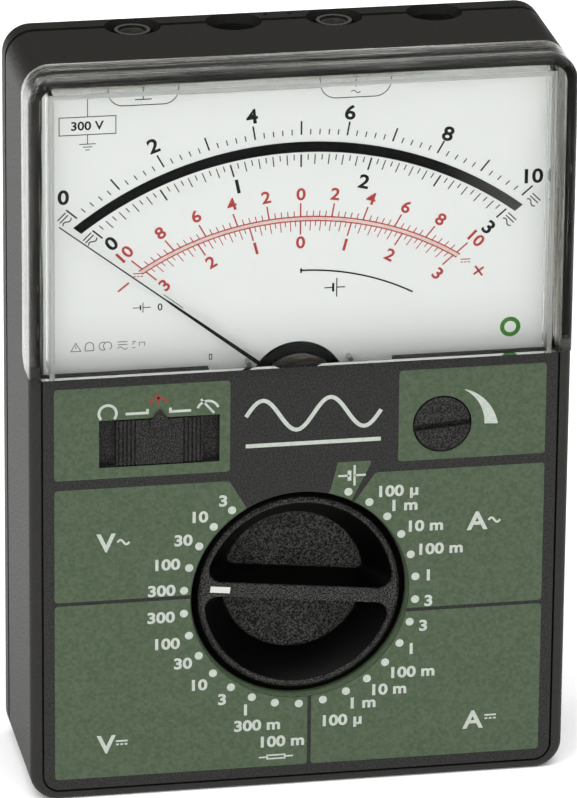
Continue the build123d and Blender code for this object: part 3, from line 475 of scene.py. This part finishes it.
class Print:
    """Thin flat shapes on one plane that faces -Y, gathered into one mesh."""

    def __init__(self, name, plane_y, material, slot, layer=1.0):
        self.name = name
        self.back = plane_y
        self.front = plane_y - FILM * layer
        self.material = material
        self.slot = slot
        self.points = []
        self.faces = []

    def area(self, *loops):
        """A filled outline in (x, z) mm, with any holes as further loops."""
        base = len(self.points)
        flat = [point for loop in loops for point in loop]
        count = len(flat)
        self.points += [(x, self.front, z) for x, z in flat]
        self.points += [(x, self.back, z) for x, z in flat]
        triangles = tessellate_polygon([[Vector((x, z, 0)) for x, z in loop] for loop in loops])
        for a, b, c in triangles:
            turn = (flat[b][0] - flat[a][0]) * (flat[c][1] - flat[a][1])
            turn -= (flat[c][0] - flat[a][0]) * (flat[b][1] - flat[a][1])
            a, b, c = (a, b, c) if turn > 0 else (a, c, b)
            self.faces.append((base + a, base + b, base + c))
            self.faces.append((base + count + a, base + count + c, base + count + b))
        start = 0
        for number, loop in enumerate(loops):
            self.walls(base + start, base + count + start, loop, number > 0)
            start += len(loop)

    def walls(self, front, back, loop, is_hole):
        """The thin edge round one loop."""
        size = len(loop)
        area = sum(loop[i - 1][0] * loop[i][1] - loop[i][0] * loop[i - 1][1] for i in range(size))
        outward = (area > 0) != is_hole
        for i in range(size):
            j = (i + 1) % size
            quad = (front + i, back + i, back + j, front + j)
            self.faces.append(quad if outward else quad[::-1])

    def line(self, points, width):
        """A stroke of one width along points, with mitred joints."""
        left, right = [], []
        for i, point in enumerate(points):
            here = Vector(point)
            before = (here - Vector(points[i - 1])).normalized() if i else None
            after = (Vector(points[i + 1]) - here).normalized() if i + 1 < len(points) else None
            along = ((before or after) + (after or before)).normalized()
            side = Vector((-along.y, along.x)) * width / 2
            if before and after:
                side /= max(0.4, sqrt((1 + before.dot(after)) / 2))
            left.append(tuple(here + side))
            right.append(tuple(here - side))
        self.area(left + right[::-1])

    def dot(self, x, z, radius):
        self.area(ring(x, z, radius))

    def hoop(self, x, z, radius, width):
        """A thin circle."""
        self.area(ring(x, z, radius + width / 2), ring(x, z, radius - width / 2))

    def outline(self, left, right, low, high, width):
        """The thin outline of a rectangle."""
        inside = rectangle(left + width, right - width, low + width, high - width)
        self.area(rectangle(left, right, low, high), inside)

    def letters(self, text, x, z, height, turn=0.0, bold=0.034, wide=1.18):
        """Characters centred on (x, z); turn leans them clockwise, in degrees, and wide stretches them."""
        font = bpy.data.curves.new("characters", "FONT")
        font.body = text
        font.offset = bold
        font.extrude = 0.5
        font.resolution_u = 4
        carrier = bpy.data.objects.new("characters", font)
        mesh = bpy.data.meshes.new_from_object(carrier)
        scale = height / CAP_HEIGHT
        xs = [v.co.x for v in mesh.vertices]
        shift = (min(xs) + max(xs)) / 2
        lean = radians(turn)
        base = len(self.points)
        depth = self.back - self.front
        for vertex in mesh.vertices:
            u = (vertex.co.x - shift) * scale * wide
            v = (vertex.co.y - CAP_HEIGHT / 2) * scale
            y = self.back - depth * (vertex.co.z + 0.5)
            self.points.append((x + u * cos(lean) + v * sin(lean), y, z - u * sin(lean) + v * cos(lean)))
        self.faces += [tuple(base + i for i in face.vertices) for face in mesh.polygons]
        bpy.data.objects.remove(carrier)
        bpy.data.meshes.remove(mesh)
        bpy.data.curves.remove(font)

    def build(self):
        """The finished mesh object, riding on the case."""
        riding_piece(self.name, self.points, self.faces, self.material, "case")


def cap_height():
    """Height of a digit in the built-in font at size 1."""
    font = bpy.data.curves.new("gauge", "FONT")
    font.body = "1"
    carrier = bpy.data.objects.new("gauge", font)
    mesh = bpy.data.meshes.new_from_object(carrier)
    height = max(v.co.y for v in mesh.vertices)
    bpy.data.objects.remove(carrier)
    bpy.data.meshes.remove(mesh)
    bpy.data.curves.remove(font)
    return height


CAP_HEIGHT = cap_height()


# ---- the panel ----

def on_dish(angle):
    """A point on the edge of the knob's dish, by its angle in degrees."""
    return (DISH_R * cos(radians(angle)), KNOB_Z + DISH_R * sin(radians(angle)))


def dish_angle(x=None, z=None, side=1):
    """The angle at which the dish's edge reaches a given x or z."""
    if z is not None:
        angle = degrees(asin((z - KNOB_Z) / DISH_R))
        return angle if side > 0 else 180 - angle
    return side * degrees(atan2(sqrt(DISH_R ** 2 - x ** 2), x))


def dish_edge(start, end):
    """The stretch of the dish's edge between two angles, as sharp corners."""
    return sharp(arc(0, KNOB_Z, DISH_R, start, end))


FIELD_LEFT = -45.5
FIELD_RIGHT = 45.4
FIELD_LOW = 4.05
UPPER_LOW, UPPER_HIGH = 63.2, 80.9
FIELD_HIGH = 61.3
LEFT_DIVIDER = 38.95
RIGHT_DIVIDER = 33.7
FOOT_DIVIDER = 1.97
DIVIDER_HALF = 0.35
SLOT_HALF_X, SLOT_HALF_Z = 11.08, 4.58
ADJUST_HOLE_R = 5.47
LEFT_BOX_END, RIGHT_BOX_START = -13.2, 18.0
# where the slanted edges of the two upper fields start, and the dish angles that they run to
VOLTS_SLANT_X, VOLTS_SLANT_ANGLE = -13.3, 119.4
AMPS_SLANT_X, AMPS_SLANT_ANGLE = 13.8, 60.6


def green_fields(print_green):
    """The seven green fields of the panel."""
    slot_sides = (SLIDER_X - SLOT_HALF_X, SLIDER_X + SLOT_HALF_X)
    slot_hole = rectangle(*slot_sides, SLOT_Z - SLOT_HALF_Z, SLOT_Z + SLOT_HALF_Z)
    left_box = rectangle(FIELD_LEFT, LEFT_BOX_END, UPPER_LOW, UPPER_HIGH)
    print_green.area(rounded(left_box), slot_hole)
    right_box = rectangle(RIGHT_BOX_START, FIELD_RIGHT, UPPER_LOW, UPPER_HIGH)
    print_green.area(rounded(right_box), ring(ADJUST_X, ADJUST_Z, ADJUST_HOLE_R))
    above = LEFT_DIVIDER + DIVIDER_HALF
    below = LEFT_DIVIDER - DIVIDER_HALF
    volts_ac = [(FIELD_LEFT, above), (*on_dish(dish_angle(z=above, side=-1)), 0)]
    volts_ac += dish_edge(dish_angle(z=above, side=-1), VOLTS_SLANT_ANGLE)
    volts_ac += [(VOLTS_SLANT_X, FIELD_HIGH), (FIELD_LEFT, FIELD_HIGH)]
    print_green.area(rounded(volts_ac))
    foot_left = FOOT_DIVIDER - DIVIDER_HALF
    volts_dc = [(FIELD_LEFT, FIELD_LOW), (foot_left, FIELD_LOW)]
    volts_dc += dish_edge(dish_angle(x=foot_left, side=-1), dish_angle(z=below, side=-1) - 360)
    volts_dc += [(FIELD_LEFT, below)]
    print_green.area(rounded(volts_dc))
    foot_right = FOOT_DIVIDER + DIVIDER_HALF
    below = RIGHT_DIVIDER - DIVIDER_HALF
    amps_dc = [(foot_right, FIELD_LOW), (FIELD_RIGHT, FIELD_LOW), (FIELD_RIGHT, below)]
    amps_dc += dish_edge(dish_angle(z=below), dish_angle(x=foot_right, side=-1))
    print_green.area(rounded(amps_dc))
    above = RIGHT_DIVIDER + DIVIDER_HALF
    amps_ac = [(FIELD_RIGHT, above), (FIELD_RIGHT, FIELD_HIGH), (AMPS_SLANT_X, FIELD_HIGH)]
    amps_ac += dish_edge(AMPS_SLANT_ANGLE, dish_angle(z=above))
    print_green.area(rounded(amps_ac))
    battery = [(5.5, 58.5, 0), (6.8, 63.7, 0), (12.9, 63.7, 0), (12.9, 63.0, 0), (9.75, 56.75, 0)]
    print_green.area(rounded(battery + dish_edge(62.5, 75.5)))


FIRST_DOT = 66
DOT_STEP = 12
DOT_GAPS = [78, 90, 102, 114]
RANGE_LABELS = [
    ("3", -14.4, 57.5), ("10", -18.6, 54.6), ("30", -21.7, 50.2), ("100", -24.6, 45.6), ("300", -25.7, 40.5),
    ("300", -25.8, 35.2), ("100", -24.6, 29.9), ("30", -21.7, 25.8), ("10", -18.6, 21.3), ("3", -14.4, 18.1),
    ("1", -10.0, 15.7), ("300 m", -7.8, 12.5), ("100 m", -3.0, 9.0),
    ("100 µ", 8.2, 12.5), ("1 m", 12.1, 15.7), ("10 m", 17.0, 18.1), ("100 m", 21.4, 21.3),
    ("1", 21.0, 25.9), ("3", 23.2, 30.4), ("3", 24.1, 35.3), ("1", 24.0, 40.4), ("100 m", 26.3, 45.6),
    ("10 m", 23.4, 50.3), ("1 m", 19.4, 54.6), ("100 µ", 18.2, 57.5),
]


def wave(x, z, half, height, cycles=1.0):
    """Points of a sine wave centred on (x, z)."""
    count = int(24 * cycles)
    phases = [i / count for i in range(count + 1)]
    return [(x + half * (2 * t - 1), z + height * sin(2 * pi * cycles * t)) for t in phases]


def direct_mark(target, x, z, half, width):
    """A line over three dashes: direct current."""
    line_z, dash_z = z + half * 0.3, z - half * 0.3
    target.line([(x - half, line_z), (x + half, line_z)], width)
    for step in (-1, 0, 1):
        dash_x = x + step * half * 0.72
        target.line([(dash_x - half * 0.24, dash_z), (dash_x + half * 0.24, dash_z)], width)


def both_mark(target, x, z, half, width, turn=0.0):
    """Direct over alternating current, leaning by turn degrees clockwise."""
    lean = radians(turn)

    def placed(u, v):
        return (x + u * cos(lean) + v * sin(lean), z - u * sin(lean) + v * cos(lean))

    for v in (0.0, 0.6):
        target.line([placed(-half, v * half), placed(half, v * half)], width)
    curve = [placed(u, v - half * 0.75) for u, v in wave(0, 0, half, half * 0.28)]
    target.line(curve, width)


def range_print(white):
    """The ring of dots and the range labels round the selector."""
    for index in range(30):
        angle = FIRST_DOT - DOT_STEP * index
        if angle % 360 in DOT_GAPS:
            continue
        x = DOT_RING_R * cos(radians(angle))
        white.dot(x, KNOB_Z + DOT_RING_R * sin(radians(angle)), DOT_R)
    for label, x, z in RANGE_LABELS:
        white.letters(label, x, z, PANEL_DIGIT)
    for letter, x, z in (("V", -36.0, 50.6), ("V", -36.0, 10.6), ("A", 33.0, 50.6), ("A", 32.9, 10.8)):
        white.letters(letter, x, z, GROUP_LETTER, 0, 0.024, 1.08)
    for x, z in ((-32.8, 50.6), (36.2, 50.6)):
        white.line(wave(x, z, 1.1, 0.45), 0.4)
    for x, z in ((-33.1, 10.8), (36.2, 11.2)):
        direct_mark(white, x, z, 1.1, 0.32)
    white.outline(-6.0, -2.4, 5.4, 6.4, 0.3)
    white.line([(-7.4, 5.9), (-6.0, 5.9)], 0.3)
    white.line([(-2.4, 5.9), (-1.0, 5.9)], 0.3)


def battery_mark(target, x_low, x_high, z, short, tall, width, gap):
    """A cell symbol: a line, a short thick plate, a tall thin plate, a line."""
    centre = (x_low + x_high) / 2
    target.line([(x_low, z), (centre - gap / 2, z)], width)
    target.line([(centre + gap / 2, z), (x_high, z)], width)
    target.line([(centre - gap / 2, z - short), (centre - gap / 2, z + short)], width * 1.7)
    target.line([(centre + gap / 2, z - tall), (centre + gap / 2, z + tall)], width)


# the angles round the adjusting knob between which the wedge widens
WEDGE_TIP, WEDGE_END = 57.4, -2.9


def on_adjuster(angle, radius):
    """A point at an angle and a radius from the middle of the adjusting knob."""
    return (ADJUST_X + radius * cos(radians(angle)), ADJUST_Z + radius * sin(radians(angle)))


def control_print(white):
    """Symbols above the slider, the rising wedge by the adjusting knob and the plain centre mark."""
    white.line(arc(-35.7, 75.8, 1.6, -42, 222), 0.5)
    white.line([(-32.4, 75.55), (-28.4, 75.55), (-28.4, 76.3)], 0.5)
    white.line([(-24.2, 76.3), (-24.2, 75.55), (-20.4, 75.55)], 0.5)
    white.line(arc(-17.3, 75.2, 2.0, 20, 160), 0.45)
    white.line([(-16.15, 74.8), (-18.6, 77.6)], 0.4)
    swept = [i / 24 for i in range(25)]
    sweep = WEDGE_END - WEDGE_TIP
    inner = [on_adjuster(WEDGE_TIP + sweep * t, 7.6 + 0.3 * t) for t in swept]
    outer = [on_adjuster(WEDGE_TIP + sweep * t, 7.7 + 2.7 * t) for t in swept]
    white.area(inner + outer[::-1])
    battery_mark(white, 6.9, 12.0, 61.0, 1.0, 2.0, 0.4, 0.95)
    white.line(wave(2.2, 73.6, 12.5, 3.0, 2.0), 0.75)
    white.line([(-10.3, 67.9), (14.7, 67.9)], 0.75)


def red_control_print(red):
    """The centre-zero symbol above the slider's index."""
    red.line([(-26.4, 76.9), (-26.4, 79.3)], 0.4)
    red.line(arc(-26.4, 76.2, 2.1, 35, 145), 0.4)


# ---- the dial ----

def ray_to(circle_z, radius, angle):
    """How far from the scale centre a ray at angle, clockwise from up, meets an arc of the dial."""
    drop = SCALE_Z - circle_z
    across = drop * sin(radians(angle))
    return sqrt(radius ** 2 - across ** 2) - drop * cos(radians(angle))


def from_centre(distance, angle):
    """A point of the dial by its distance from the scale centre and its angle clockwise from up."""
    return (SCALE_X + distance * sin(radians(angle)), SCALE_Z + distance * cos(radians(angle)))


def tick(target, circle_z, radius, angle, length, width):
    """A scale mark that starts on an arc and runs outward, or inward if its length is negative."""
    start = ray_to(circle_z, radius, angle)
    target.line([from_centre(start, angle), from_centre(start + length, angle)], width)


# each arc of the dial: the height of its centre, and its radius
UPPER_ARC = (58.0, 67.6)
LOWER_ARC = (57.68, 64.2)
RED_TOP = (56.0, 54.0)
RED_FOOT = (56.2, 53.0)
# degrees from one figure to the next
UPPER_STEP = 9.79
LOWER_STEP = 32.63
RED_STEP = 4.895
RED_LOWER_STEP = 16.3


def dial_arc(circle, limit=50):
    """Points of an arc of the dial, as far to the left of up as to the right."""
    return [from_centre(ray_to(*circle, angle), angle) for angle in range(-limit, limit + 1, 2)]


def black_scales(black):
    """The two black scales above and below the mirror."""
    for fifth in range(51):
        long = fifth % 5 == 0
        angle = (fifth / 5 - 5) * UPPER_STEP
        tick(black, *UPPER_ARC, angle, 2.6 if long else 1.05, 0.3 if long else 0.2)
    for index in range(61):
        angle = (index / 20 - 1.5) * LOWER_STEP
        if index % 10 == 0:
            tick(black, *LOWER_ARC, angle, -2.4, 0.3)
        else:
            tick(black, *LOWER_ARC, angle, -1.05 if index % 2 else -1.9, 0.19)
    upper = [("0", -43.0, 116.0, 0), ("2", -26.7, 124.9, -19), ("4", -8.8, 129.5, -7), ("6", 9.2, 129.4, 7),
             ("8", 27.2, 124.4, 19), ("10", 43.2, 115.5, 0)]
    for label, x, z, turn in upper:
        black.letters(label, x, z, 2.55, turn, 0.026, 1.12)
    lower = [("0", -34.3, 106.8, -38), ("1", -11.3, 116.4, -12), ("2", 11.85, 116.1, 14),
             ("3", 35.0, 106.1, 45)]
    for label, x, z, turn in lower:
        black.letters(label, x, z, 2.45, turn, 0.026, 1.12)
    for x, z, turn in ((-42.9, 111.9, -45), (-38.25, 107.9, -45), (43.3, 111.0, 45), (38.9, 107.5, 45)):
        both_mark(black, x, z, 1.05, 0.21, turn)


def red_digits(red, labels, step):
    """A row of figures that leans with the scale, step degrees from one to the next."""
    centre = len(labels) // 2
    for index, (label, x, z) in enumerate(labels):
        red.letters(label, x, z, 2.15, (index - centre) * step * 0.9, 0.022, 1.1)


def red_scales(red):
    """The centre-zero scales below the black ones."""
    red.line(dial_arc(RED_TOP), 0.22)
    red.line(dial_arc(RED_FOOT), 0.22)
    for index in range(-25, 26):
        long = index % 5 == 0
        tick(red, *RED_TOP, index * 0.4 * RED_STEP, 2.6 if long else 1.1, 0.26 if long else 0.17)
    for index in range(-30, 31):
        angle = index * 0.1 * RED_LOWER_STEP
        if index % 10 == 0:
            tick(red, *RED_FOOT, angle, -2.6, 0.26)
        else:
            tick(red, *RED_FOOT, angle, -1.0 if index % 2 else -1.9, 0.16)
    upper = [
        ("10", -31.8, 104.7), ("8", -25.4, 108.3), ("6", -18.9, 111.1), ("4", -12.4, 113.0),
        ("2", -6.1, 114.0), ("0", 0.3, 114.3), ("2", 6.6, 114.0),
        ("4", 13.2, 112.8), ("6", 19.7, 110.8), ("8", 26.1, 108.1), ("10", 32.8, 104.0),
    ]
    red_digits(red, upper, 2 * RED_STEP)
    lower = [
        ("3", -24.6, 98.3), ("2", -16.1, 102.2), ("1", -7.9, 104.4),
        ("0", 0.3, 105.1),
        ("1", 8.5, 104.2), ("2", 16.8, 101.8), ("3", 25.7, 97.7),
    ]
    red_digits(red, lower, RED_LOWER_STEP)
    red.line([(-33.1, 97.5), (-31.1, 99.1)], 0.32)
    for turn in (35, 125):
        u, v = 1.15 * cos(radians(turn)), 1.15 * sin(radians(turn))
        red.line([(33.3 - u, 97.8 - v), (33.3 + u, 97.8 + v)], 0.36)
    direct_mark(red, -29.4, 100.5, 0.9, 0.18)
    direct_mark(red, 30.8, 99.9, 0.9, 0.18)


def pink_band(pink):
    """Pale fill between the two red lines."""
    pink.area(dial_arc(RED_TOP) + dial_arc(RED_FOOT)[::-1])


def earth_mark(target, x, z, width):
    """Three shrinking bars."""
    for step, half in enumerate((1.5, 0.85, 0.4)):
        target.line([(x - half, z - 0.55 * step), (x + half, z - 0.55 * step)], width)


def dial_extras(black):
    """The battery arc, the small symbols and the lead lines at the top of the dial."""
    black.line([(0.45, 99.2), (0.45, 100.1)], 0.3)
    black.line(arc(SCALE_X, 55.8, 43.9, 90, 61.6), 0.3)
    black.line([(4.8, 96.1), (6.3, 96.1)], 0.2)
    black.line([(6.4, 95.3), (6.4, 96.95)], 0.4)
    black.line([(7.06, 94.3), (7.06, 97.9)], 0.2)
    black.line([(7.06, 96.1), (8.6, 96.1)], 0.2)
    battery_mark(black, -30.4, -27.1, 94.2, 0.5, 0.95, 0.15, 0.45)
    black.letters("0", -25.4, 94.15, 1.3, 0, 0.01, 1.0)
    black.line([(-24.75, 96.5), (-21.2, 93.7)], 0.12)


def pocket(target, left, right, low, top, radius, width):
    """The outline of one socket pocket, hanging from the top edge of the plate."""
    points = [(left, top), (left, low + radius)] + arc(left + radius, low + radius, radius, 180, 270)
    points += arc(right - radius, low + radius, radius, 270, 360) + [(right, top)]
    target.line(points, width)


def dial_head(fine):
    """Thin lines: the two socket pockets, the link between them and the earth symbol."""
    top = 135.7
    pocket(fine, -34.9, -22.1, 132.75, top, 2.8, 0.16)
    pocket(fine, 3.6, 16.6, 132.25, top, 3.0, 0.16)
    fine.line([(-22.1, 134.4), (3.6, 134.4)], 0.14)
    fine.line([(-28.5, 133.8), (-28.5, 135.4)], 0.16)
    fine.line([(-30.0, 133.8), (-27.0, 133.8)], 0.18)
    fine.hoop(-28.5, 135.55, 0.28, 0.1)
    fine.line([(10.1, 134.2), (10.1, 135.4)], 0.16)
    fine.line([(9.5, 134.8), (10.7, 134.8)], 0.16)
    fine.line(wave(10.1, 133.3, 0.85, 0.24), 0.15)
    fine.line([(-34.9, 134.6), (-38.6, 134.6), (-38.6, 131.1)], 0.14)
    fine.outline(-43.8, -33.4, 127.6, 131.1, 0.15)
    fine.letters("300 V", -38.6, 129.35, 1.55, 0, 0.02, 1.1)
    fine.line([(-38.6, 127.6), (-38.6, 125.95)], 0.14)
    earth_mark(fine, -38.6, 125.9, 0.14)
    fine.outline(-16.4, -15.8, 83.45, 84.55, 0.15)


def dial_foot(grey):
    """The row of small grey symbols at the lower left."""
    z = 87.2
    triangle = [(-41.7, z - 0.75), (-39.9, z - 0.75), (-40.8, z + 0.85)]
    grey.line(triangle + [triangle[0]], 0.14)
    grey.line([(-40.8, z + 0.3), (-40.8, z - 0.3)], 0.14)
    dome = arc(-38.3, z + 0.1, 0.75, 180, 0)
    grey.line([(-39.1, z - 0.7), (-39.1, z + 0.1)] + dome + [(-37.5, z - 0.7)], 0.16)
    grey.line([(-39.1, z - 0.75), (-37.5, z - 0.75)], 0.16)
    grey.line(arc(-35.8, z, 0.75, 60, 300), 0.15)
    grey.line(arc(-35.0, z, 0.75, 240, -60)[::-1], 0.15)
    both_mark(grey, -32.25, z + 0.1, 0.9, 0.14)
    grey.line([(-30.5, z + 0.6), (-29.9, z + 0.6), (-30.5, z)], 0.12)
    grey.line([(-30.5, z - 0.6), (-29.9, z - 0.6)], 0.12)
    grey.line([(-29.2, z - 0.35), (-29.2, z + 0.35), (-28.2, z + 0.35), (-28.2, z - 0.35)], 0.12)


def plain_green_mark(green):
    """A plain ring at the lower right of the dial, where makers put their own mark."""
    green.hoop(39.4, 86.6, 1.5, 0.8)


WALL_START, WALL_END = 120, 432


def dish_wall(material):
    """The printed wall of the knob's dish, which carries the green down behind the panel."""
    steps = [(DISH_R - 0.13, PANEL_Y), (DISH_R - 0.35, PANEL_Y + 1.35), (DISH_R - 0.36, PANEL_Y + 2.6)]
    angles = [radians(a) for a in range(WALL_START, WALL_END + 1, 2)]
    points, faces = [], []
    for radius, y in steps:
        points += [(radius * cos(a), y, KNOB_Z + radius * sin(a)) for a in angles]
    size = len(angles)
    for row in range(len(steps) - 1):
        for i in range(size - 1):
            a = row * size + i
            faces.append((a, a + 1, a + 1 + size, a + size))
    piece = riding_piece("dish_wall", points, faces, material, "case")
    thick = piece.modifiers.new("thickness", "SOLIDIFY")
    thick.thickness = FILM * MM
    thick.offset = 0


def collar_rims(material):
    """A grey ring on the top of each socket's sleeve, whose grey is a painted highlight on the rim."""
    low, high = reach("socket_collars")
    centre_y = middle("socket_collars", 1)
    radius = (high[1] - low[1]) / 2
    inset_and_rise = [(0.02, -0.02), (0.05, 0.05), (0.3, 0.09), (0.62, 0.05), (0.66, -0.02)]
    profile = [(radius - inset, high[2] + rise) for inset, rise in inset_and_rise]
    points, faces = [], []
    count = 64
    for x in (low[0] + radius, high[0] - radius):
        base = len(points)
        for i in range(count):
            a = 2 * pi * i / count
            points += [(x + r * cos(a), centre_y + r * sin(a), z) for r, z in profile]
        size = len(profile)
        for i in range(count):
            for j in range(size):
                here, after = base + i * size, base + (i + 1) % count * size
                k = (j + 1) % size
                faces.append((here + j, after + j, after + k, here + k))
    riding_piece("socket_rims", points, faces, material, "case")


def knob_pimples(material):
    """Rows of small pyramids over the face of the adjusting knob, clear of its slot."""
    furthest = ADJUST_R - 0.55
    pitch, half, rise, root = 0.8, 0.3, 0.13, 0.02
    turn = radians(ADJUST_SLOPE)
    points, faces = [], []
    steps = range(-8, 9)
    for i in steps:
        for j in steps:
            u, v = i * pitch, j * pitch
            if hypot(u, v) > furthest or abs(v) < ADJUST_SLOT_HALF + half:
                continue
            base = len(points)
            corners = rectangle(u - half, u + half, v - half, v + half) + [(u, v)]
            for index, (p, q) in enumerate(corners):
                x = ADJUST_X + p * cos(turn) - q * sin(turn)
                z = ADJUST_Z + p * sin(turn) + q * cos(turn)
                y = ADJUST_Y - rise if index == 4 else ADJUST_Y + root
                points.append((x, y, z))
            faces += [(base + a, base + (a + 1) % 4, base + 4) for a in range(4)]
            faces.append((base + 3, base + 2, base + 1, base))
    riding_piece("adjuster_pimples", points, faces, material, "adjuster")


def all_print():
    """Every printed colour, each as one piece on its plane."""
    green = ink("ink_green", (0.036, 0.059, 0.030), 0.5, 0.05, (0.058, 0.078, 0.047))
    white = ink("ink_white", (0.37, 0.40, 0.36), 0.5, 0.03)
    red = ink("ink_red", (0.20, 0.030, 0.022), 0.5, 0.03)
    black = ink("ink_black", (0.004, 0.004, 0.004), 0.5)
    scale_red = ink("ink_scale_red", (0.52, 0.055, 0.055), 0.5)
    pink = ink("ink_pink", (0.86, 0.66, 0.60), 0.5)
    grey = ink("ink_grey", (0.17, 0.17, 0.17), 0.5)
    dial_green = ink("ink_dial_green", (0.05, 0.24, 0.03), 0.5)
    jobs = [
        (Print("panel_fields", PANEL_Y, green, "panel_print"), [green_fields]),
        (Print("panel_marks", PANEL_Y, white, "panel_print", 1.8), [range_print, control_print]),
        (Print("panel_red_mark", PANEL_Y, red, "panel_print", 1.8), [red_control_print]),
        (Print("dial_black_scales", DIAL_Y, black, "plate_white"), [black_scales, dial_extras, dial_head]),
        (Print("dial_pink_band", DIAL_Y, pink, "plate_white", 0.6), [pink_band]),
        (Print("dial_red_scales", DIAL_Y, scale_red, "plate_white", 1.2), [red_scales]),
        (Print("dial_small_symbols", DIAL_Y, grey, "plate_white"), [dial_foot]),
        (Print("dial_green_ring", DIAL_Y, dial_green, "plate_white"), [plain_green_mark]),
    ]
    for target, steps in jobs:
        for step in steps:
            step(target)
        target.build()
    dish_wall(green)


# ---------------------------------------------------------------- studio

def studio_world():
    """A soft sky that is bright in front and above, and dark behind."""
    world = bpy.data.worlds.new("studio")
    bpy.context.scene.world = world
    world.use_nodes = True
    tree = world.node_tree
    background = tree.nodes["Background"]
    place = tree.nodes.new("ShaderNodeTexCoord")
    split = tree.nodes.new("ShaderNodeSeparateXYZ")
    tree.links.new(place.outputs["Generated"], split.inputs["Vector"])

    def ramp(axis, low, high, to_low, to_high):
        node = tree.nodes.new("ShaderNodeMapRange")
        node.interpolation_type = "SMOOTHSTEP"
        for key, value in (("From Min", low), ("From Max", high), ("To Min", to_low), ("To Max", to_high)):
            node.inputs[key].default_value = value
        tree.links.new(split.outputs[axis], node.inputs["Value"])
        return node.outputs["Result"]

    def times(a, b):
        node = tree.nodes.new("ShaderNodeMath")
        node.operation = "MULTIPLY"
        tree.links.new(a, node.inputs[0])
        tree.links.new(b, node.inputs[1])
        return node.outputs["Value"]

    depth = ramp("Y", -0.3, 0.35, 1.0, SKY_BACK)
    side = ramp("X", -0.8, 0.8, 1.15, 0.8)
    height = ramp("Z", 0.0, 1.0, SKY_LOW, SKY_HIGH)
    tree.links.new(times(times(depth, side), height), background.inputs["Strength"])
    background.inputs["Color"].default_value = (1.0, 1.0, 1.0, 1)


def softbox(name, place, aim, size, power):
    """A large square lamp that points at a spot, all in metres."""
    lamp = bpy.data.lights.new(name, "AREA")
    lamp.shape = "RECTANGLE"
    lamp.size, lamp.size_y = size
    lamp.energy = power
    holder = bpy.data.objects.new(name, lamp)
    bpy.context.scene.collection.objects.link(holder)
    holder.location = place
    holder.rotation_euler = (Vector(aim) - Vector(place)).to_track_quat("-Z", "Y").to_euler()


def floor_material():
    """Plain pale paper with a barely visible tooth."""
    made = Surface("studio_paper", (0.93, 0.93, 0.93), 0.9, Specular_IOR_Level=0.1)
    made.mottle(made.ranged(made.noise(0.02, 2.0), 0.3, 0.7, 0, 1), (0.92, 0.92, 0.92))
    return made.material


def studio_floor():
    """A wide pale floor, level with the base."""
    low = cad_box[0][2]
    half = 9.0
    mesh = bpy.data.meshes.new("studio_floor")
    corners = [(-half, -half, low), (half, -half, low), (half, half, low), (-half, half, low)]
    mesh.from_pydata(corners, [], [(0, 1, 2, 3)])
    floor = bpy.data.objects.new("studio_floor", mesh)
    bpy.context.scene.collection.objects.link(floor)
    mesh.materials.append(floor_material())


def camera():
    """The photograph's viewpoint: a long lens, a little left of the middle and above."""
    sight = bpy.data.cameras.new("camera")
    sight.lens = 311.7
    sight.sensor_width = 36.0
    sight.clip_end = 30.0
    holder = bpy.data.objects.new("camera", sight)
    bpy.context.scene.collection.objects.link(holder)
    right = Vector((0.98349, -0.18074, 0.00896))
    up = Vector((0.05650, 0.35374, 0.93363))
    back = right.cross(up)
    turn = Matrix((right, up, back)).transposed().to_4x4()
    holder.matrix_world = Matrix.Translation(Vector((-218.0, -1166.8, 525.6)) * MM) @ turn
    bpy.context.scene.camera = holder


finishes = materials()
paint_nodes(finishes)
all_print()
# The grey of the sleeve rims is a painted highlight.
collar_rims(ink("sleeve_rim_highlight", (0.045, 0.045, 0.043), 0.5))
knob_pimples(finishes["control_black"])
studio_floor()
studio_world()
softbox("key_left", (-1.1, -0.9, 1.2), (0, 0, 0.07), (0.9, 0.9), 6)
softbox("overhead", (0.0, 0.1, 2.0), (0, 0.3, 0), (2.4, 2.4), 30)
camera()
bpy.context.scene.view_settings.view_transform = "Standard"
